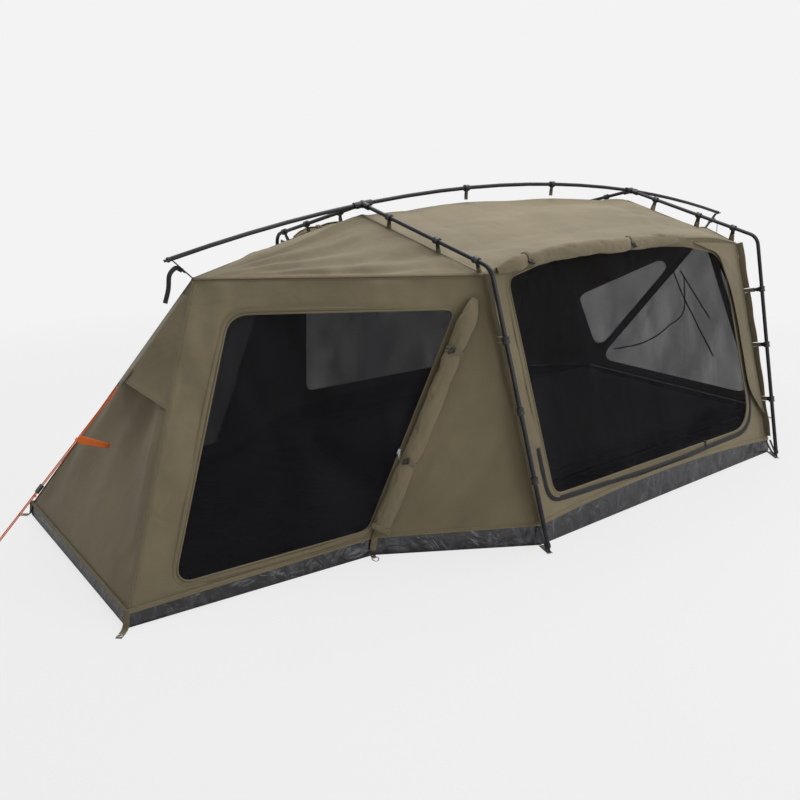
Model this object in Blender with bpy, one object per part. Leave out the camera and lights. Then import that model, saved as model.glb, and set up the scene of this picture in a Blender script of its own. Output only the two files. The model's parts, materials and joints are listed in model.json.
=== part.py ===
"""Swag tent: a canvas bedroll tent with a tub floor, two hooped poles under a ridge pole, and a
vestibule with a mesh side door on each side.

Origin: on the ground, midway between the feet of the front hoop.
+X runs to the foot end of the bed, +Z is up, and the near side of the tent faces -Y.
Metres throughout. The two long sides are mirror images, so a point is given by its distance along
the tent, its half width and its height, and a side of -1 (near) or +1 (far).
"""
import math

import bmesh
import bpy
from mathutils import Matrix, Vector

NEAR = -1
FAR = 1
SIDES = {"near": NEAR, "far": FAR}
UP = Vector((0.0, 0.0, 1.0))
ACROSS = Vector((0.0, 1.0, 0.0))
TANGENT_STEP = 0.010

# Clearances: between sewn panels, between parts that seat, round a swinging mesh door, over a zip
SEAM_GAP = 0.0004
FIT_GAP = 0.0003
HINGE_GAP = 0.0012
ZIP_GAP = 0.0004

# Cloth thicknesses
CANVAS_T = 0.0024
MESH_T = 0.0012
TUB_T = 0.0024

# Least cosine at which a border's corner is drawn in along its mitre
SHARPEST_BORDER = 0.35

# Floor tub: plan of the welded floor, as (along, half width), and the height of its wall there
NOSE = (-1.344, 0.503)
WAIST = (-0.500, 0.576)
FRONT_SHOULDER = (0.020, 0.883)
REAR_SHOULDER = (1.570, 0.874)
TAIL = (2.030, 0.576)
NOSE_RIM = 0.045
WAIST_RIM = 0.062
FRONT_SHOULDER_RIM = 0.072
REAR_SHOULDER_RIM = 0.060
TAIL_RIM = 0.060
SIDE_RIM_RISE = 0.040
TUB_BATTER = 0.20
TUB_MIDDLE = 0.35
FLOOR_BORDER = 0.060

# Canvas body, as (along, half width, height)
FRONT_PEAK = (-0.833, 0.0, 0.927)
FRONT_RIDGE = (-0.119, 0.0, 1.109)
REAR_RIDGE = (1.525, 0.0, 1.104)
REAR_PEAK = (2.240, 0.0, 0.930)
FRONT_EAVE = (-0.080, 0.655, 0.950)
REAR_EAVE = (1.545, 0.601, 0.941)
RIDGE_RISE = 0.045
EAVE_RISE = 0.055
REAR_RIDGE_SAG = 0.030

# Openings in the canvas: canvas left between each seam and the mesh, and the corner radii
DOOR_TOP = 0.135
DOOR_NOSE_SIDE = 0.140
DOOR_HOOP_SIDE = 0.045
DOOR_SILL = 0.045
DOOR_RADIUS = 0.055
DOOR_SMALL_RADIUS = 0.025
WINDOW_TOP = 0.015
WINDOW_TOP_BOW = 0.045
WINDOW_FRONT_SIDE = 0.100
WINDOW_REAR_SIDE = 0.125
WINDOW_SILL = 0.090
WINDOW_RADIUS = 0.130
WINDOW_SMALL_RADIUS = 0.040
REAR_WINDOW_ROOF_SIDE = 0.130
REAR_WINDOW_PEAK_SIDE = 0.018
REAR_WINDOW_EDGE = 0.070
REAR_WINDOW_DROP = 0.45
REAR_WINDOW_RADIUS = 0.045
END_WINDOW_EDGE = 0.026
END_WINDOW_SILL = 0.050

# Middle line of the room, from which every panel faces away
ROOM_START = -0.600
ROOM_END = 1.800
ROOM_HEIGHT = 0.350

# Poles
POLE_R = 0.008
POLE_BORE_R = 0.0068
POLE_SIDES = 10
POLE_FACET = math.cos(math.pi / POLE_SIDES)
HOOP_FOOT_CLEARANCE = 0.060
HOOP_FOOT = FRONT_SHOULDER[1] + HOOP_FOOT_CLEARANCE
HOOP_ELBOW_CLEARANCE = 0.050
HOOP_ELBOW = FRONT_EAVE[1] + HOOP_ELBOW_CLEARANCE
HOOP_ELBOW_RISE = 0.030
HOOP_ELBOW_HEIGHT = FRONT_EAVE[2] + HOOP_ELBOW_RISE
FRONT_HOOP_X = 0.0
FRONT_HOOP_LEAN = -0.100
REAR_HOOP_X = 1.519
REAR_HOOP_LEAN = 0.022
ELBOW_RADIUS = 0.060
LEG_TOP_DROP = 0.110
LEG_TOP = HOOP_ELBOW_HEIGHT - LEG_TOP_DROP
SPIGOT_LENGTH = 0.050
SPIGOT_WALL = 0.0014
RIDGE_TIP_FRONT = (-0.914, 0.999)
RIDGE_TIP_REAR = (2.342, 1.011)
RIDGE_CLEARANCE = 0.094
RIDGE_CREST = FRONT_RIDGE[2] + RIDGE_CLEARANCE

# Hubs where the ridge pole crosses the hoops
HUB_R = 0.0125
HUB_BALL_R = 0.0160
SOCKET_REACH = 0.042
SOCKET_STOP = 0.0165
SLEEVE_START = 0.001

# Clips that hang the canvas from the poles
CLIP_R = 0.0115
CLIP_BITE = 0.0073
CLIP_WIDTH = 0.012
CLIP_ARM_T = 0.0035
CLIP_MOUTH_START = math.radians(140)
CLIP_MOUTH_END = math.radians(245)
CLIP_END_GAP = 0.0006
LEG_CLIP_HEIGHTS = (0.730, 0.490, 0.250)
RAFTER_CLIP_SHARES = (0.252, 0.664, 0.970)
RIDGE_CLIP_PLACES = (0.425, 0.956)

# Ends of the ridge pole
CAP_R = 0.0095
CAP_LENGTH = 0.007
CAP_NECK_R = 0.0050
CAP_NECK_LENGTH = 0.011
CAP_PLUG_LENGTH = 0.022
CAP_PIN_R = 0.0024
CAP_PIN_REACH = 0.015
PEAK_STRAP_WIDTH = 0.016
PEAK_STRAP_T = 0.0020
BUCKLE_SIZE = (0.026, 0.024, 0.005)
PEAK_STRAP_INSET = 0.012
STRAP_TAIL_WIDTH = 0.0144
STRAP_TAIL_RISE = 0.002
STRAP_TAIL_OUT = 0.030
STRAP_TAIL_KNEE = (0.010, 0.014)
STRAP_TAIL_SLANT = 0.012
STRAP_TAIL_DROP = 0.095
POLE_TANGENT_STEP = 0.050

# Feet, pegging tabs and rings
FOOT_PIN_R = 0.0040
FOOT_PIN_LENGTH = 0.022
FOOT_COLLAR_R = 0.0095
FOOT_COLLAR_LENGTH = 0.014
TAB_WIDTH = 0.022
TAB_T = 0.0018
TAB_LIFT = 0.0004
TAB_ROOT = 0.030
CORNER_TAB_REACH = 0.052
WAIST_TAB_REACH = 0.026
EYELET_R = 0.0055
FOOT_RING_R = 0.0078
FOOT_RING_WIRE_R = 0.0015
D_RING_WIRE_R = 0.0016
D_RING_WIDTH = 0.024
D_RING_REACH = 0.022
LOOP_R = 0.0042
LOOP_BORE_R = 0.0022
LOOP_LENGTH = 0.016
RING_STEPS = 12
WAIST_TAB_SLANT = 0.3

# Rolled canvas, tied with tapes
DOOR_ROLL_WIDTH = 0.064
DOOR_ROLL_DEPTH = 0.044
DOOR_ROLL_SHIFT = 0.012
DOOR_ROLL_START = 0.080
DOOR_ROLL_END = 0.965
DOOR_ROLL_TIES = (0.22, 0.70)
DOOR_ROLL_SETTLE = 0.0013
WINDOW_ROLL_WIDTH = 0.060
WINDOW_ROLL_DEPTH = 0.044
WINDOW_ROLL_START = 0.030
WINDOW_ROLL_END = 0.720
WINDOW_ROLL_TAPER = 0.200
WINDOW_ROLL_LIFT = 0.0012
WINDOW_ROLL_DROP = 0.004
WINDOW_ROLL_TIES = (0.12, 0.65)
ROLL_SIDES = 10
TIE_PINCH = 0.13
TIE_SPREAD = 0.030
ROLL_END_SIZE = 0.72
ROLL_TIP_SIZE = 0.35
ROLL_SQUARENESS = 0.85

# Mattress
MATTRESS_LENGTH = 2.000
MATTRESS_WIDTH = 1.080
MATTRESS_T = 0.070
MATTRESS_HEAD = -0.090
MATTRESS_CROWN = 0.012
MATTRESS_CORNER = 0.070
MATTRESS_SIDE_PINCH = 0.010
MATTRESS_EDGE = 0.010

# Visor over the front end wall
VISOR_START = 0.060
VISOR_SEWN_TO = 0.430
VISOR_TIP = (-1.111, 0.609)
VISOR_TAB_REACH = 0.034
VISOR_TAB_ROOT = 0.004
VISOR_TAB_WIDTH = 0.020
VISOR_TAB_T = 0.0022
VISOR_EYE_R = 0.0058
VISOR_BAR = 0.0060

# Guy rope with its tensioner, flag and peg
ROPE_R = 0.00175
PEG_X = -1.690
PEG_R = 0.0030
PEG_ROPE_HEIGHT = 0.018
PEG_SHAFT = 0.036
PEG_HOOK_R = 0.009
PEG_HOOK_TURN = math.radians(150)
ROPE_KNOT_DISTANCE = 0.040
ROPE_END_GAP = 0.002
TENSIONER_PLACE = 0.405
TENSIONER_SIZE = (0.030, 0.019, 0.008)
FLAG_PLACE = 0.210
FLAG_SLEEVE_SIZE = (0.010, 0.018, 0.007)
FLAG_LENGTH = 0.105
FLAG_ROOT_WIDTH = 0.030
FLAG_END_WIDTH = 0.018
FLAG_T = 0.0014
FLAG_NECK_WIDTH = 0.009
FLAG_DROOP = math.radians(14)

# Zips
DOOR_SLIDER_PLACE = 0.640
WINDOW_SLIDER_PLACE = 0.720
SLIDER_LENGTH = 0.020
SLIDER_WIDTH = 0.009
SLIDER_T = 0.0055
SLIDER_SHIFT = 0.003
SLIDER_BEVEL = 0.0012
PULL_LENGTH = 0.032
PULL_WIDTH = 0.007
PULL_T = 0.0016
PULL_PIVOT_GAP = 0.0005

COLOURS = {
    "canvas": ("#7b6f54", 0.9, 0.0),
    "insect_mesh": ("#1d1c22", 0.9, 0.0),
    "pvc": ("#2f2f36", 0.35, 0.0),
    "pole": ("#34383e", 0.35, 0.6),
    "black_plastic": ("#18191b", 0.5, 0.0),
    "webbing": ("#17171a", 0.9, 0.0),
    "zinc": ("#b9babd", 0.35, 1.0),
    "rope": ("#e0603a", 0.7, 0.0),
    "flag": ("#f07a30", 0.6, 0.0),
    "mattress_cover": ("#3b3d44", 0.95, 0.0),
}


def clear_scene():
    for obj in list(bpy.data.objects):
        bpy.data.objects.remove(obj, do_unlink=True)


def srgb_to_linear(value):
    return value / 12.92 if value <= 0.04045 else ((value + 0.055) / 1.055) ** 2.4


def make_material(node_name, finish_name):
    """A Principled material of one finish, for one piece."""
    colour, roughness, metallic = COLOURS[finish_name]
    mat = bpy.data.materials.new(node_name + "_" + finish_name)
    mat.use_nodes = True
    shader = mat.node_tree.nodes["Principled BSDF"]
    channels = [srgb_to_linear(int(colour[i:i + 2], 16) / 255.0) for i in (1, 3, 5)]
    shader.inputs["Base Color"].default_value = (*channels, 1.0)
    shader.inputs["Roughness"].default_value = roughness
    shader.inputs["Metallic"].default_value = metallic
    return mat


# Mesh helpers

def finish(name, bm, material, smooth_angle=40):
    """Turn a bmesh into a named object with its faces pointing out."""
    bmesh.ops.recalc_face_normals(bm, faces=bm.faces)
    mesh = bpy.data.meshes.new(name)
    bm.to_mesh(mesh)
    bm.free()
    mesh.shade_smooth()
    mesh.set_sharp_from_angle(angle=math.radians(smooth_angle))
    obj = bpy.data.objects.new(name, mesh)
    bpy.context.scene.collection.objects.link(obj)
    mesh.materials.append(make_material(name, material))
    return obj


def combine(obj, name, bm, operation):
    """Join a tool body to an object, or cut it away, as a live Boolean modifier."""
    bmesh.ops.recalc_face_normals(bm, faces=bm.faces)
    mesh = bpy.data.meshes.new(name)
    bm.to_mesh(mesh)
    bm.free()
    tool = bpy.data.objects.new(name, mesh)
    bpy.context.scene.collection.objects.link(tool)
    tool.hide_render = True
    tool.display_type = "WIRE"
    mod = obj.modifiers.new(name, "BOOLEAN")
    mod.operation = operation
    mod.solver = "EXACT"
    mod.object = tool


def loft(bm, rings, closed=False):
    """Skin a list of rings of points, capped at its ends unless the last ring meets the first."""
    rows = [[bm.verts.new(point) for point in ring] for ring in rings]
    pairs = list(zip(rows, rows[1:]))
    if closed:
        pairs.append((rows[-1], rows[0]))
    else:
        bm.faces.new(rows[0])
        bm.faces.new(rows[-1])
    count = len(rows[0])
    for low, high in pairs:
        for i in range(count):
            j = (i + 1) % count
            bm.faces.new((low[i], low[j], high[j], high[i]))


def square_to(direction, hint):
    """Two directions square to the first: one close to the hint, and one square to both."""
    side = (hint - direction * hint.dot(direction)).normalized()
    return side, direction.cross(side).normalized()


def frames_along(points):
    """A steady frame at each point of a path: the point and two vectors square to the path."""
    frames = []
    side = None
    for i, point in enumerate(points):
        tangent = (points[min(i + 1, len(points) - 1)] - points[max(i - 1, 0)]).normalized()
        if side is None:
            side = UP if abs(tangent.z) < 0.9 else ACROSS
        side, upper = square_to(tangent, side)
        frames.append((point, side, upper))
    return frames


def ellipse_ring(frame, side_radius, upper_radius, count, power=1.0):
    """A ring of points round a frame; a power under 1 squares its corners."""
    point, side, upper = frame
    ring = []
    for i in range(count):
        angle = 2 * math.pi * i / count
        c = math.cos(angle)
        s = math.sin(angle)
        across = math.copysign(abs(c) ** power, c) * side_radius
        above = math.copysign(abs(s) ** power, s) * upper_radius
        ring.append(point + side * across + upper * above)
    return ring


def circle_ring(frame, radius, count=POLE_SIDES):
    return ellipse_ring(frame, radius, radius, count)


def cylinder(bm, start, end, radius, count=POLE_SIDES):
    loft(bm, [circle_ring(f, radius, count) for f in frames_along([start, end])])


def bar(bm, points, width_dir, width, thickness):
    """A flat band along a path, its width close to width_dir."""
    rings = []
    for i, point in enumerate(points):
        tangent = (points[min(i + 1, len(points) - 1)] - points[max(i - 1, 0)]).normalized()
        across, normal = square_to(tangent, width_dir)
        ring = []
        for a, b in ((-0.5, -0.5), (0.5, -0.5), (0.5, 0.5), (-0.5, 0.5)):
            ring.append(point + across * (a * width) + normal * (b * thickness))
        rings.append(ring)
    loft(bm, rings)


def extrude_outline(bm, outline, direction):
    """A prism from a closed outline, half each way along the direction."""
    loft(bm, [[p - direction / 2 for p in outline], [p + direction / 2 for p in outline]])


def closed_tube(bm, points, normal, radius, count):
    """A tube round a closed flat loop of points."""
    rings = []
    for i, point in enumerate(points):
        tangent = (points[(i + 1) % len(points)] - points[i - 1]).normalized()
        frame = (point, tangent.cross(normal).normalized(), normal)
        rings.append(circle_ring(frame, radius, count))
    loft(bm, rings, closed=True)


def fillet_path(start, corner, end, radius, steps):
    """Two straight runs with an arc between them."""
    into = (start - corner).normalized()
    out = (end - corner).normalized()
    half = into.angle(out) / 2
    reach = radius / math.tan(half)
    centre = corner + (into + out).normalized() * (radius / math.sin(half))
    first = corner + into * reach - centre
    last = corner + out * reach - centre
    axis = first.cross(last).normalized()
    sweep = first.angle(last)
    arc = [centre + Matrix.Rotation(sweep * i / steps, 3, axis) @ first for i in range(steps + 1)]
    return [start] + arc + [end]


# Lines of the canvas body that several panels share

def rim_point(plan, height, side):
    """A point on the tub's upper edge, whose wall leans in."""
    inward = Vector((TUB_MIDDLE - plan[0], -side * plan[1], 0.0)).normalized()
    return Vector((plan[0], side * plan[1], height)) + inward * (height * TUB_BATTER)


def at(place, side):
    return Vector((place[0], side * place[1], place[2]))


def corner_points(side):
    return {
        "front_peak": at(FRONT_PEAK, side),
        "front_ridge": at(FRONT_RIDGE, side),
        "rear_ridge": at(REAR_RIDGE, side),
        "rear_peak": at(REAR_PEAK, side),
        "front_eave": at(FRONT_EAVE, side),
        "rear_eave": at(REAR_EAVE, side),
        "nose": rim_point(NOSE, NOSE_RIM, side),
        "waist": rim_point(WAIST, WAIST_RIM, side),
        "front_shoulder": rim_point(FRONT_SHOULDER, FRONT_SHOULDER_RIM, side),
        "rear_shoulder": rim_point(REAR_SHOULDER, REAR_SHOULDER_RIM, side),
        "tail": rim_point(TAIL, TAIL_RIM, side),
    }


ROOF_ROWS = 4

# Each seam between two corners: its steps, how far its middle rises, and how flat-topped it bows
SEAMS = {
    ("front_peak", "front_ridge"): (8, 0.0, 2),
    ("front_peak", "front_eave"): (8, 0.0, 2),
    ("front_ridge", "front_eave"): (ROOF_ROWS, 0.0, 2),
    ("front_ridge", "rear_ridge"): (12, RIDGE_RISE, 2),
    ("front_eave", "rear_eave"): (12, EAVE_RISE, 4),
    ("rear_ridge", "rear_eave"): (ROOF_ROWS, 0.0, 2),
    ("rear_ridge", "rear_peak"): (8, -REAR_RIDGE_SAG, 2),
    ("rear_eave", "rear_peak"): (8, 0.0, 2),
    ("front_eave", "front_shoulder"): (8, 0.0, 2),
    ("front_eave", "waist"): (8, 0.0, 2),
    ("rear_eave", "rear_shoulder"): (8, 0.0, 2),
    ("rear_eave", "tail"): (8, 0.0, 2),
    ("front_peak", "nose"): (8, 0.0, 2),
    ("rear_peak", "tail"): (8, 0.0, 2),
    ("nose", "waist"): (8, 0.0, 2),
    ("waist", "front_shoulder"): (4, 0.0, 2),
    ("front_shoulder", "rear_shoulder"): (12, SIDE_RIM_RISE, 2),
    ("rear_shoulder", "tail"): (4, 0.0, 2),
}
END_STEPS = 8


def seam(start, end, side):
    """Points along a seam, from start to end."""
    points = corner_points(side)
    steps, rise, power = SEAMS.get((start, end)) or SEAMS[(end, start)]
    line = []
    for i in range(steps + 1):
        t = i / steps
        bow = UP * (rise * (1 - abs(2 * t - 1) ** power))
        line.append(points[start].lerp(points[end], t) + bow)
    return line


def seam_loop(names, side):
    """A closed outline along the seams through the named corners."""
    loop = []
    for start, end in zip(names, names[1:] + names[:1]):
        loop += seam(start, end, side)[:-1]
    return loop


def end_line(name):
    """The straight edge of an end wall, from the near side to the far side."""
    near = corner_points(NEAR)[name]
    far = corner_points(FAR)[name]
    return [near.lerp(far, i / END_STEPS) for i in range(END_STEPS + 1)]


# Flat drawings of the panels, on which their openings are laid out

class Quad:
    """A four-cornered panel, drawn flat as a rectangle."""

    def __init__(self, top_left, top_right, low_right, low_left):
        self.corners_3d = (top_left, top_right, low_right, low_left)
        self.width = ((top_right - top_left).length + (low_right - low_left).length) / 2
        self.height = ((top_left - low_left).length + (top_right - low_right).length) / 2
        self.corners = [
            Vector((0.0, self.height)),
            Vector((self.width, self.height)),
            Vector((self.width, 0.0)),
            Vector((0.0, 0.0)),
        ]

    def place(self, flat):
        top_left, top_right, low_right, low_left = self.corners_3d
        u = flat.x / self.width
        v = flat.y / self.height
        return low_left.lerp(low_right, u).lerp(top_left.lerp(top_right, u), v)

    def normal(self, flat, side):
        along = self.place(flat + Vector((TANGENT_STEP, 0.0))) - self.place(flat)
        rising = self.place(flat + Vector((0.0, TANGENT_STEP))) - self.place(flat)
        normal = along.cross(rising).normalized()
        return normal if normal.y * side > 0 else -normal


class Triangle:
    """A flat three-cornered panel."""

    def __init__(self, a, b, c):
        self.origin = a
        self.x_dir = (b - a).normalized()
        self.normal_dir = (b - a).cross(c - a).normalized()
        self.y_dir = self.normal_dir.cross(self.x_dir)
        self.corners = [Vector(((p - a).dot(self.x_dir), (p - a).dot(self.y_dir))) for p in (a, b, c)]

    def place(self, flat):
        return self.origin + self.x_dir * flat.x + self.y_dir * flat.y


def cross_2d(a, b):
    return a.x * b.y - a.y * b.x


def inset_corners(corners, margins):
    """Corners of an opening that leaves margins[i] inside the edge from corner i to the next."""
    middle = sum(corners, Vector((0.0, 0.0))) / len(corners)
    lines = []
    for i, margin in enumerate(margins):
        start = corners[i]
        along = (corners[(i + 1) % len(corners)] - start).normalized()
        inward = Vector((-along.y, along.x))
        if inward.dot(middle - start) < 0:
            inward = -inward
        lines.append((start + inward * margin, along))
    inset = []
    for i in range(len(corners)):
        p, d = lines[i - 1]
        q, e = lines[i]
        inset.append(p + d * (cross_2d(q - p, e) / cross_2d(d, e)))
    return inset


def rounded_outline(corners, radii, counts, bows):
    """A closed outline with rounded corners; side i has counts[i] points and bows out by bows[i]."""
    arcs = []
    for i, corner in enumerate(corners):
        into = (corners[i - 1] - corner).normalized()
        out = (corners[(i + 1) % len(corners)] - corner).normalized()
        half = into.angle(out) / 2
        centre = corner + (into + out).normalized() * (radii[i] / math.sin(half))
        first = corner + into * (radii[i] / math.tan(half)) - centre
        last = corner + out * (radii[i] / math.tan(half)) - centre
        sweep = first.angle_signed(last)
        turns = [Matrix.Rotation(-sweep * k / 4, 2) for k in range(5)]
        arcs.append([centre + turn @ first for turn in turns])
    middle = sum(corners, Vector((0.0, 0.0))) / len(corners)
    outline = []
    for i, count in enumerate(counts):
        leave = arcs[i][4]
        arrive = arcs[(i + 1) % len(corners)][0]
        run = count - 4
        outline += arcs[i][2:4]
        outward = (leave + arrive) / 2 - middle
        for k in range(run + 1):
            t = k / run
            bow = outward.normalized() * (bows[i] * (1 - abs(2 * t - 1) ** 4))
            outline.append(leave.lerp(arrive, t) + bow)
        outline.append(arcs[(i + 1) % len(corners)][1])
    return outline


def door_panel(side):
    p = corner_points(side)
    return Quad(p["front_peak"], p["front_eave"], p["waist"], p["nose"])


def door_corners(panel):
    return inset_corners(panel.corners, [DOOR_TOP, DOOR_HOOP_SIDE, DOOR_SILL, DOOR_NOSE_SIDE])


def door_outline(side):
    panel = door_panel(side)
    radii = [DOOR_RADIUS, DOOR_SMALL_RADIUS, DOOR_SMALL_RADIUS, DOOR_RADIUS]
    return panel, rounded_outline(door_corners(panel), radii, [8, 8, 8, 8], [0.0] * 4)


def window_panel(side):
    p = corner_points(side)
    return Quad(p["front_eave"], p["rear_eave"], p["rear_shoulder"], p["front_shoulder"])


def window_corners(panel):
    margins = [WINDOW_TOP, WINDOW_REAR_SIDE, WINDOW_SILL, WINDOW_FRONT_SIDE]
    return inset_corners(panel.corners, margins)


def window_outline(side):
    panel = window_panel(side)
    radii = [WINDOW_SMALL_RADIUS, WINDOW_RADIUS, WINDOW_RADIUS, WINDOW_SMALL_RADIUS]
    bows = [WINDOW_TOP_BOW, 0.0, 0.0, 0.0]
    return panel, rounded_outline(window_corners(panel), radii, [12, 8, 12, 8], bows)


def rear_side_outline(side):
    p = corner_points(side)
    panel = Triangle(p["rear_eave"], p["rear_peak"], p["tail"])
    margins = [REAR_WINDOW_ROOF_SIDE, REAR_WINDOW_PEAK_SIDE, REAR_WINDOW_EDGE]
    corners = inset_corners(panel.corners, margins)
    corners[0] = corners[0].lerp(corners[2], REAR_WINDOW_DROP)
    return panel, rounded_outline(corners, [REAR_WINDOW_RADIUS] * 3, [8, 8, 8], [0.0] * 3)


def end_window_outline():
    near = corner_points(NEAR)
    far = corner_points(FAR)
    panel = Triangle(near["rear_peak"], near["tail"], far["tail"])
    corners = inset_corners(panel.corners, [END_WINDOW_EDGE, END_WINDOW_SILL, END_WINDOW_EDGE])
    return panel, rounded_outline(corners, [REAR_WINDOW_RADIUS] * 3, [8, 8, 8], [0.0] * 3)


# Cloth pieces: each is first a thin sheet, a list of faces made of points

def key(point):
    return tuple(round(c, 6) for c in point)


def ring_faces(outer, inner):
    count = len(outer)
    faces = []
    for i in range(count):
        j = (i + 1) % count
        faces.append([outer[i], outer[j], inner[j], inner[i]])
    return faces


def fan_faces(panel, outline, rings):
    """A sheet that fills an outline drawn on a panel."""
    middle = sum(outline, Vector((0.0, 0.0))) / len(outline)
    loops = []
    for k in range(rings):
        share = 1 - k / rings
        loops.append([panel.place(middle + (flat - middle) * share) for flat in outline])
    faces = []
    for outer, inner in zip(loops, loops[1:]):
        faces += ring_faces(outer, inner)
    centre = panel.place(middle)
    last = loops[-1]
    for i, point in enumerate(last):
        faces.append([point, last[(i + 1) % len(last)], centre])
    return faces


def framed_faces(loop, panel, outline):
    """A sheet with one opening: two rings of faces from its seams to the opening."""
    hole = [panel.place(flat) for flat in outline]
    between = [a.lerp(b, 0.5) for a, b in zip(loop, hole)]
    return ring_faces(loop, between) + ring_faces(between, hole)


def grid_faces(first, last, rows):
    """A sheet between two edges with the same number of points, which may share an end."""
    grid = [[a.lerp(b, r / rows) for a, b in zip(first, last)] for r in range(rows + 1)]
    faces = []
    for low, high in zip(grid, grid[1:]):
        for i in range(len(low) - 1):
            face = []
            for corner in (low[i], low[i + 1], high[i + 1], high[i]):
                if key(corner) not in [key(other) for other in face]:
                    face.append(corner)
            faces.append(face)
    return faces


def face_normal(face):
    total = Vector()
    for a, b in zip(face, face[1:] + face[:1]):
        total += a.cross(b)
    return total.normalized()


def outward(face):
    """A face's normal, pointing away from the middle line of the tent's room."""
    middle = sum(face, Vector()) / len(face)
    inside = Vector((min(max(middle.x, ROOM_START), ROOM_END), 0.0, ROOM_HEIGHT))
    normal = face_normal(face)
    return normal if normal.dot(middle - inside) >= 0 else -normal


def shared_normals(sheets):
    """The mean outward normal at each point of all sheets together, for mitred seams."""
    normals = {}
    for faces in sheets.values():
        for face in faces:
            normal = outward(face)
            for i, point in enumerate(face):
                before = face[i - 1] - point
                after = face[(i + 1) % len(face)] - point
                place = key(point)
                normals[place] = normals.get(place, Vector()) + normal * before.angle(after)
    return {place: total.normalized() for place, total in normals.items()}


def border_moves(faces, gap):
    """How each border point of a sheet moves into the sheet to leave half the gap."""
    uses = {}
    for face in faces:
        for a, b in zip(face, face[1:] + face[:1]):
            uses.setdefault(frozenset((key(a), key(b))), []).append((a, b, face))
    inwards = {}
    for found in uses.values():
        if len(found) > 1:
            continue
        a, b, face = found[0]
        inward = face_normal(face).cross(b - a).normalized()
        middle = sum(face, Vector()) / len(face)
        if inward.dot(middle - a) < 0:
            inward = -inward
        for point in (a, b):
            inwards.setdefault(key(point), []).append(inward)
    moves = {}
    for place, directions in inwards.items():
        mean = sum(directions, Vector()).normalized()
        moves[place] = mean * (gap / 2 / max(mean.dot(directions[0]), SHARPEST_BORDER))
    return moves


def triangles_of(faces):
    """The faces with each twisted quad split along its shorter diagonal, so both skins fold alike."""
    triangles = []
    for face in faces:
        if len(face) == 3:
            triangles.append(face)
        else:
            a, b, c, d = face if (face[0] - face[2]).length <= (face[1] - face[3]).length else face[1:] + face[:1]
            triangles += [[a, b, c], [a, c, d]]
    return triangles


def cloth(name, faces, normals, thickness, gap, material):
    """Give a sheet its thickness, mitred at the seams that it shares with its neighbours."""
    moves = border_moves(faces, gap)
    bm = bmesh.new()
    skins = {1: {}, -1: {}}

    def corner(level, point):
        place = key(point)
        if place not in skins[level]:
            drawn_in = point + moves.get(place, Vector())
            skins[level][place] = bm.verts.new(drawn_in + normals[place] * (level * thickness / 2))
        return skins[level][place]

    edges = {}
    for face in triangles_of(faces):
        if face_normal(face).dot(outward(face)) < 0:
            face = face[::-1]
        bm.faces.new([corner(1, p) for p in face])
        bm.faces.new([corner(-1, p) for p in face[::-1]])
        for a, b in zip(face, face[1:] + face[:1]):
            edges.setdefault(frozenset((key(a), key(b))), []).append((a, b))
    for found in edges.values():
        if len(found) == 1:
            a, b = found[0]
            bm.faces.new((corner(1, b), corner(1, a), corner(-1, a), corner(-1, b)))
    return finish(name, bm, material)


def roof_faces(side_seams):
    """Both slopes of a roof panel, from the ridge to the eave on each side."""
    (ridge_start, ridge_end), (eave_start, eave_end) = side_seams
    faces = []
    for side in (NEAR, FAR):
        ridge = seam(ridge_start, ridge_end, side)
        faces += grid_faces(ridge, seam(eave_start, eave_end, side), ROOF_ROWS)
    return faces


def tub_faces():
    """The tub: its leaning wall from the rim to the floor, and the floor."""
    rim = []
    foot = []
    stations = [NOSE, WAIST, FRONT_SHOULDER, REAR_SHOULDER, TAIL]
    names = ["nose", "waist", "front_shoulder", "rear_shoulder", "tail"]
    for side, order in ((NEAR, 1), (FAR, -1)):
        walk = list(zip(names, stations))[::order]
        for (name, start), (next_name, end) in zip(walk, walk[1:]):
            line = seam(name, next_name, side)
            for i in range(len(line) - 1):
                t = i / (len(line) - 1)
                x = start[0] + (end[0] - start[0]) * t
                y = side * (start[1] + (end[1] - start[1]) * t)
                rim.append(line[i])
                foot.append(Vector((x, y, TUB_T / 2)))
        last_name, last = walk[-1]
        for i, point in enumerate(end_line(last_name)[::-side][:-1]):
            rim.append(point)
            foot.append(Vector((last[0], side * last[1] * (1 - 2 * i / END_STEPS), TUB_T / 2)))
    centre = Vector((TUB_MIDDLE, 0.0, TUB_T / 2))
    border = [p + (centre - p).normalized() * FLOOR_BORDER for p in foot]
    faces = ring_faces(rim, foot) + ring_faces(foot, border)
    for i, point in enumerate(border):
        faces.append([point, border[(i + 1) % len(border)], centre])
    return faces


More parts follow.
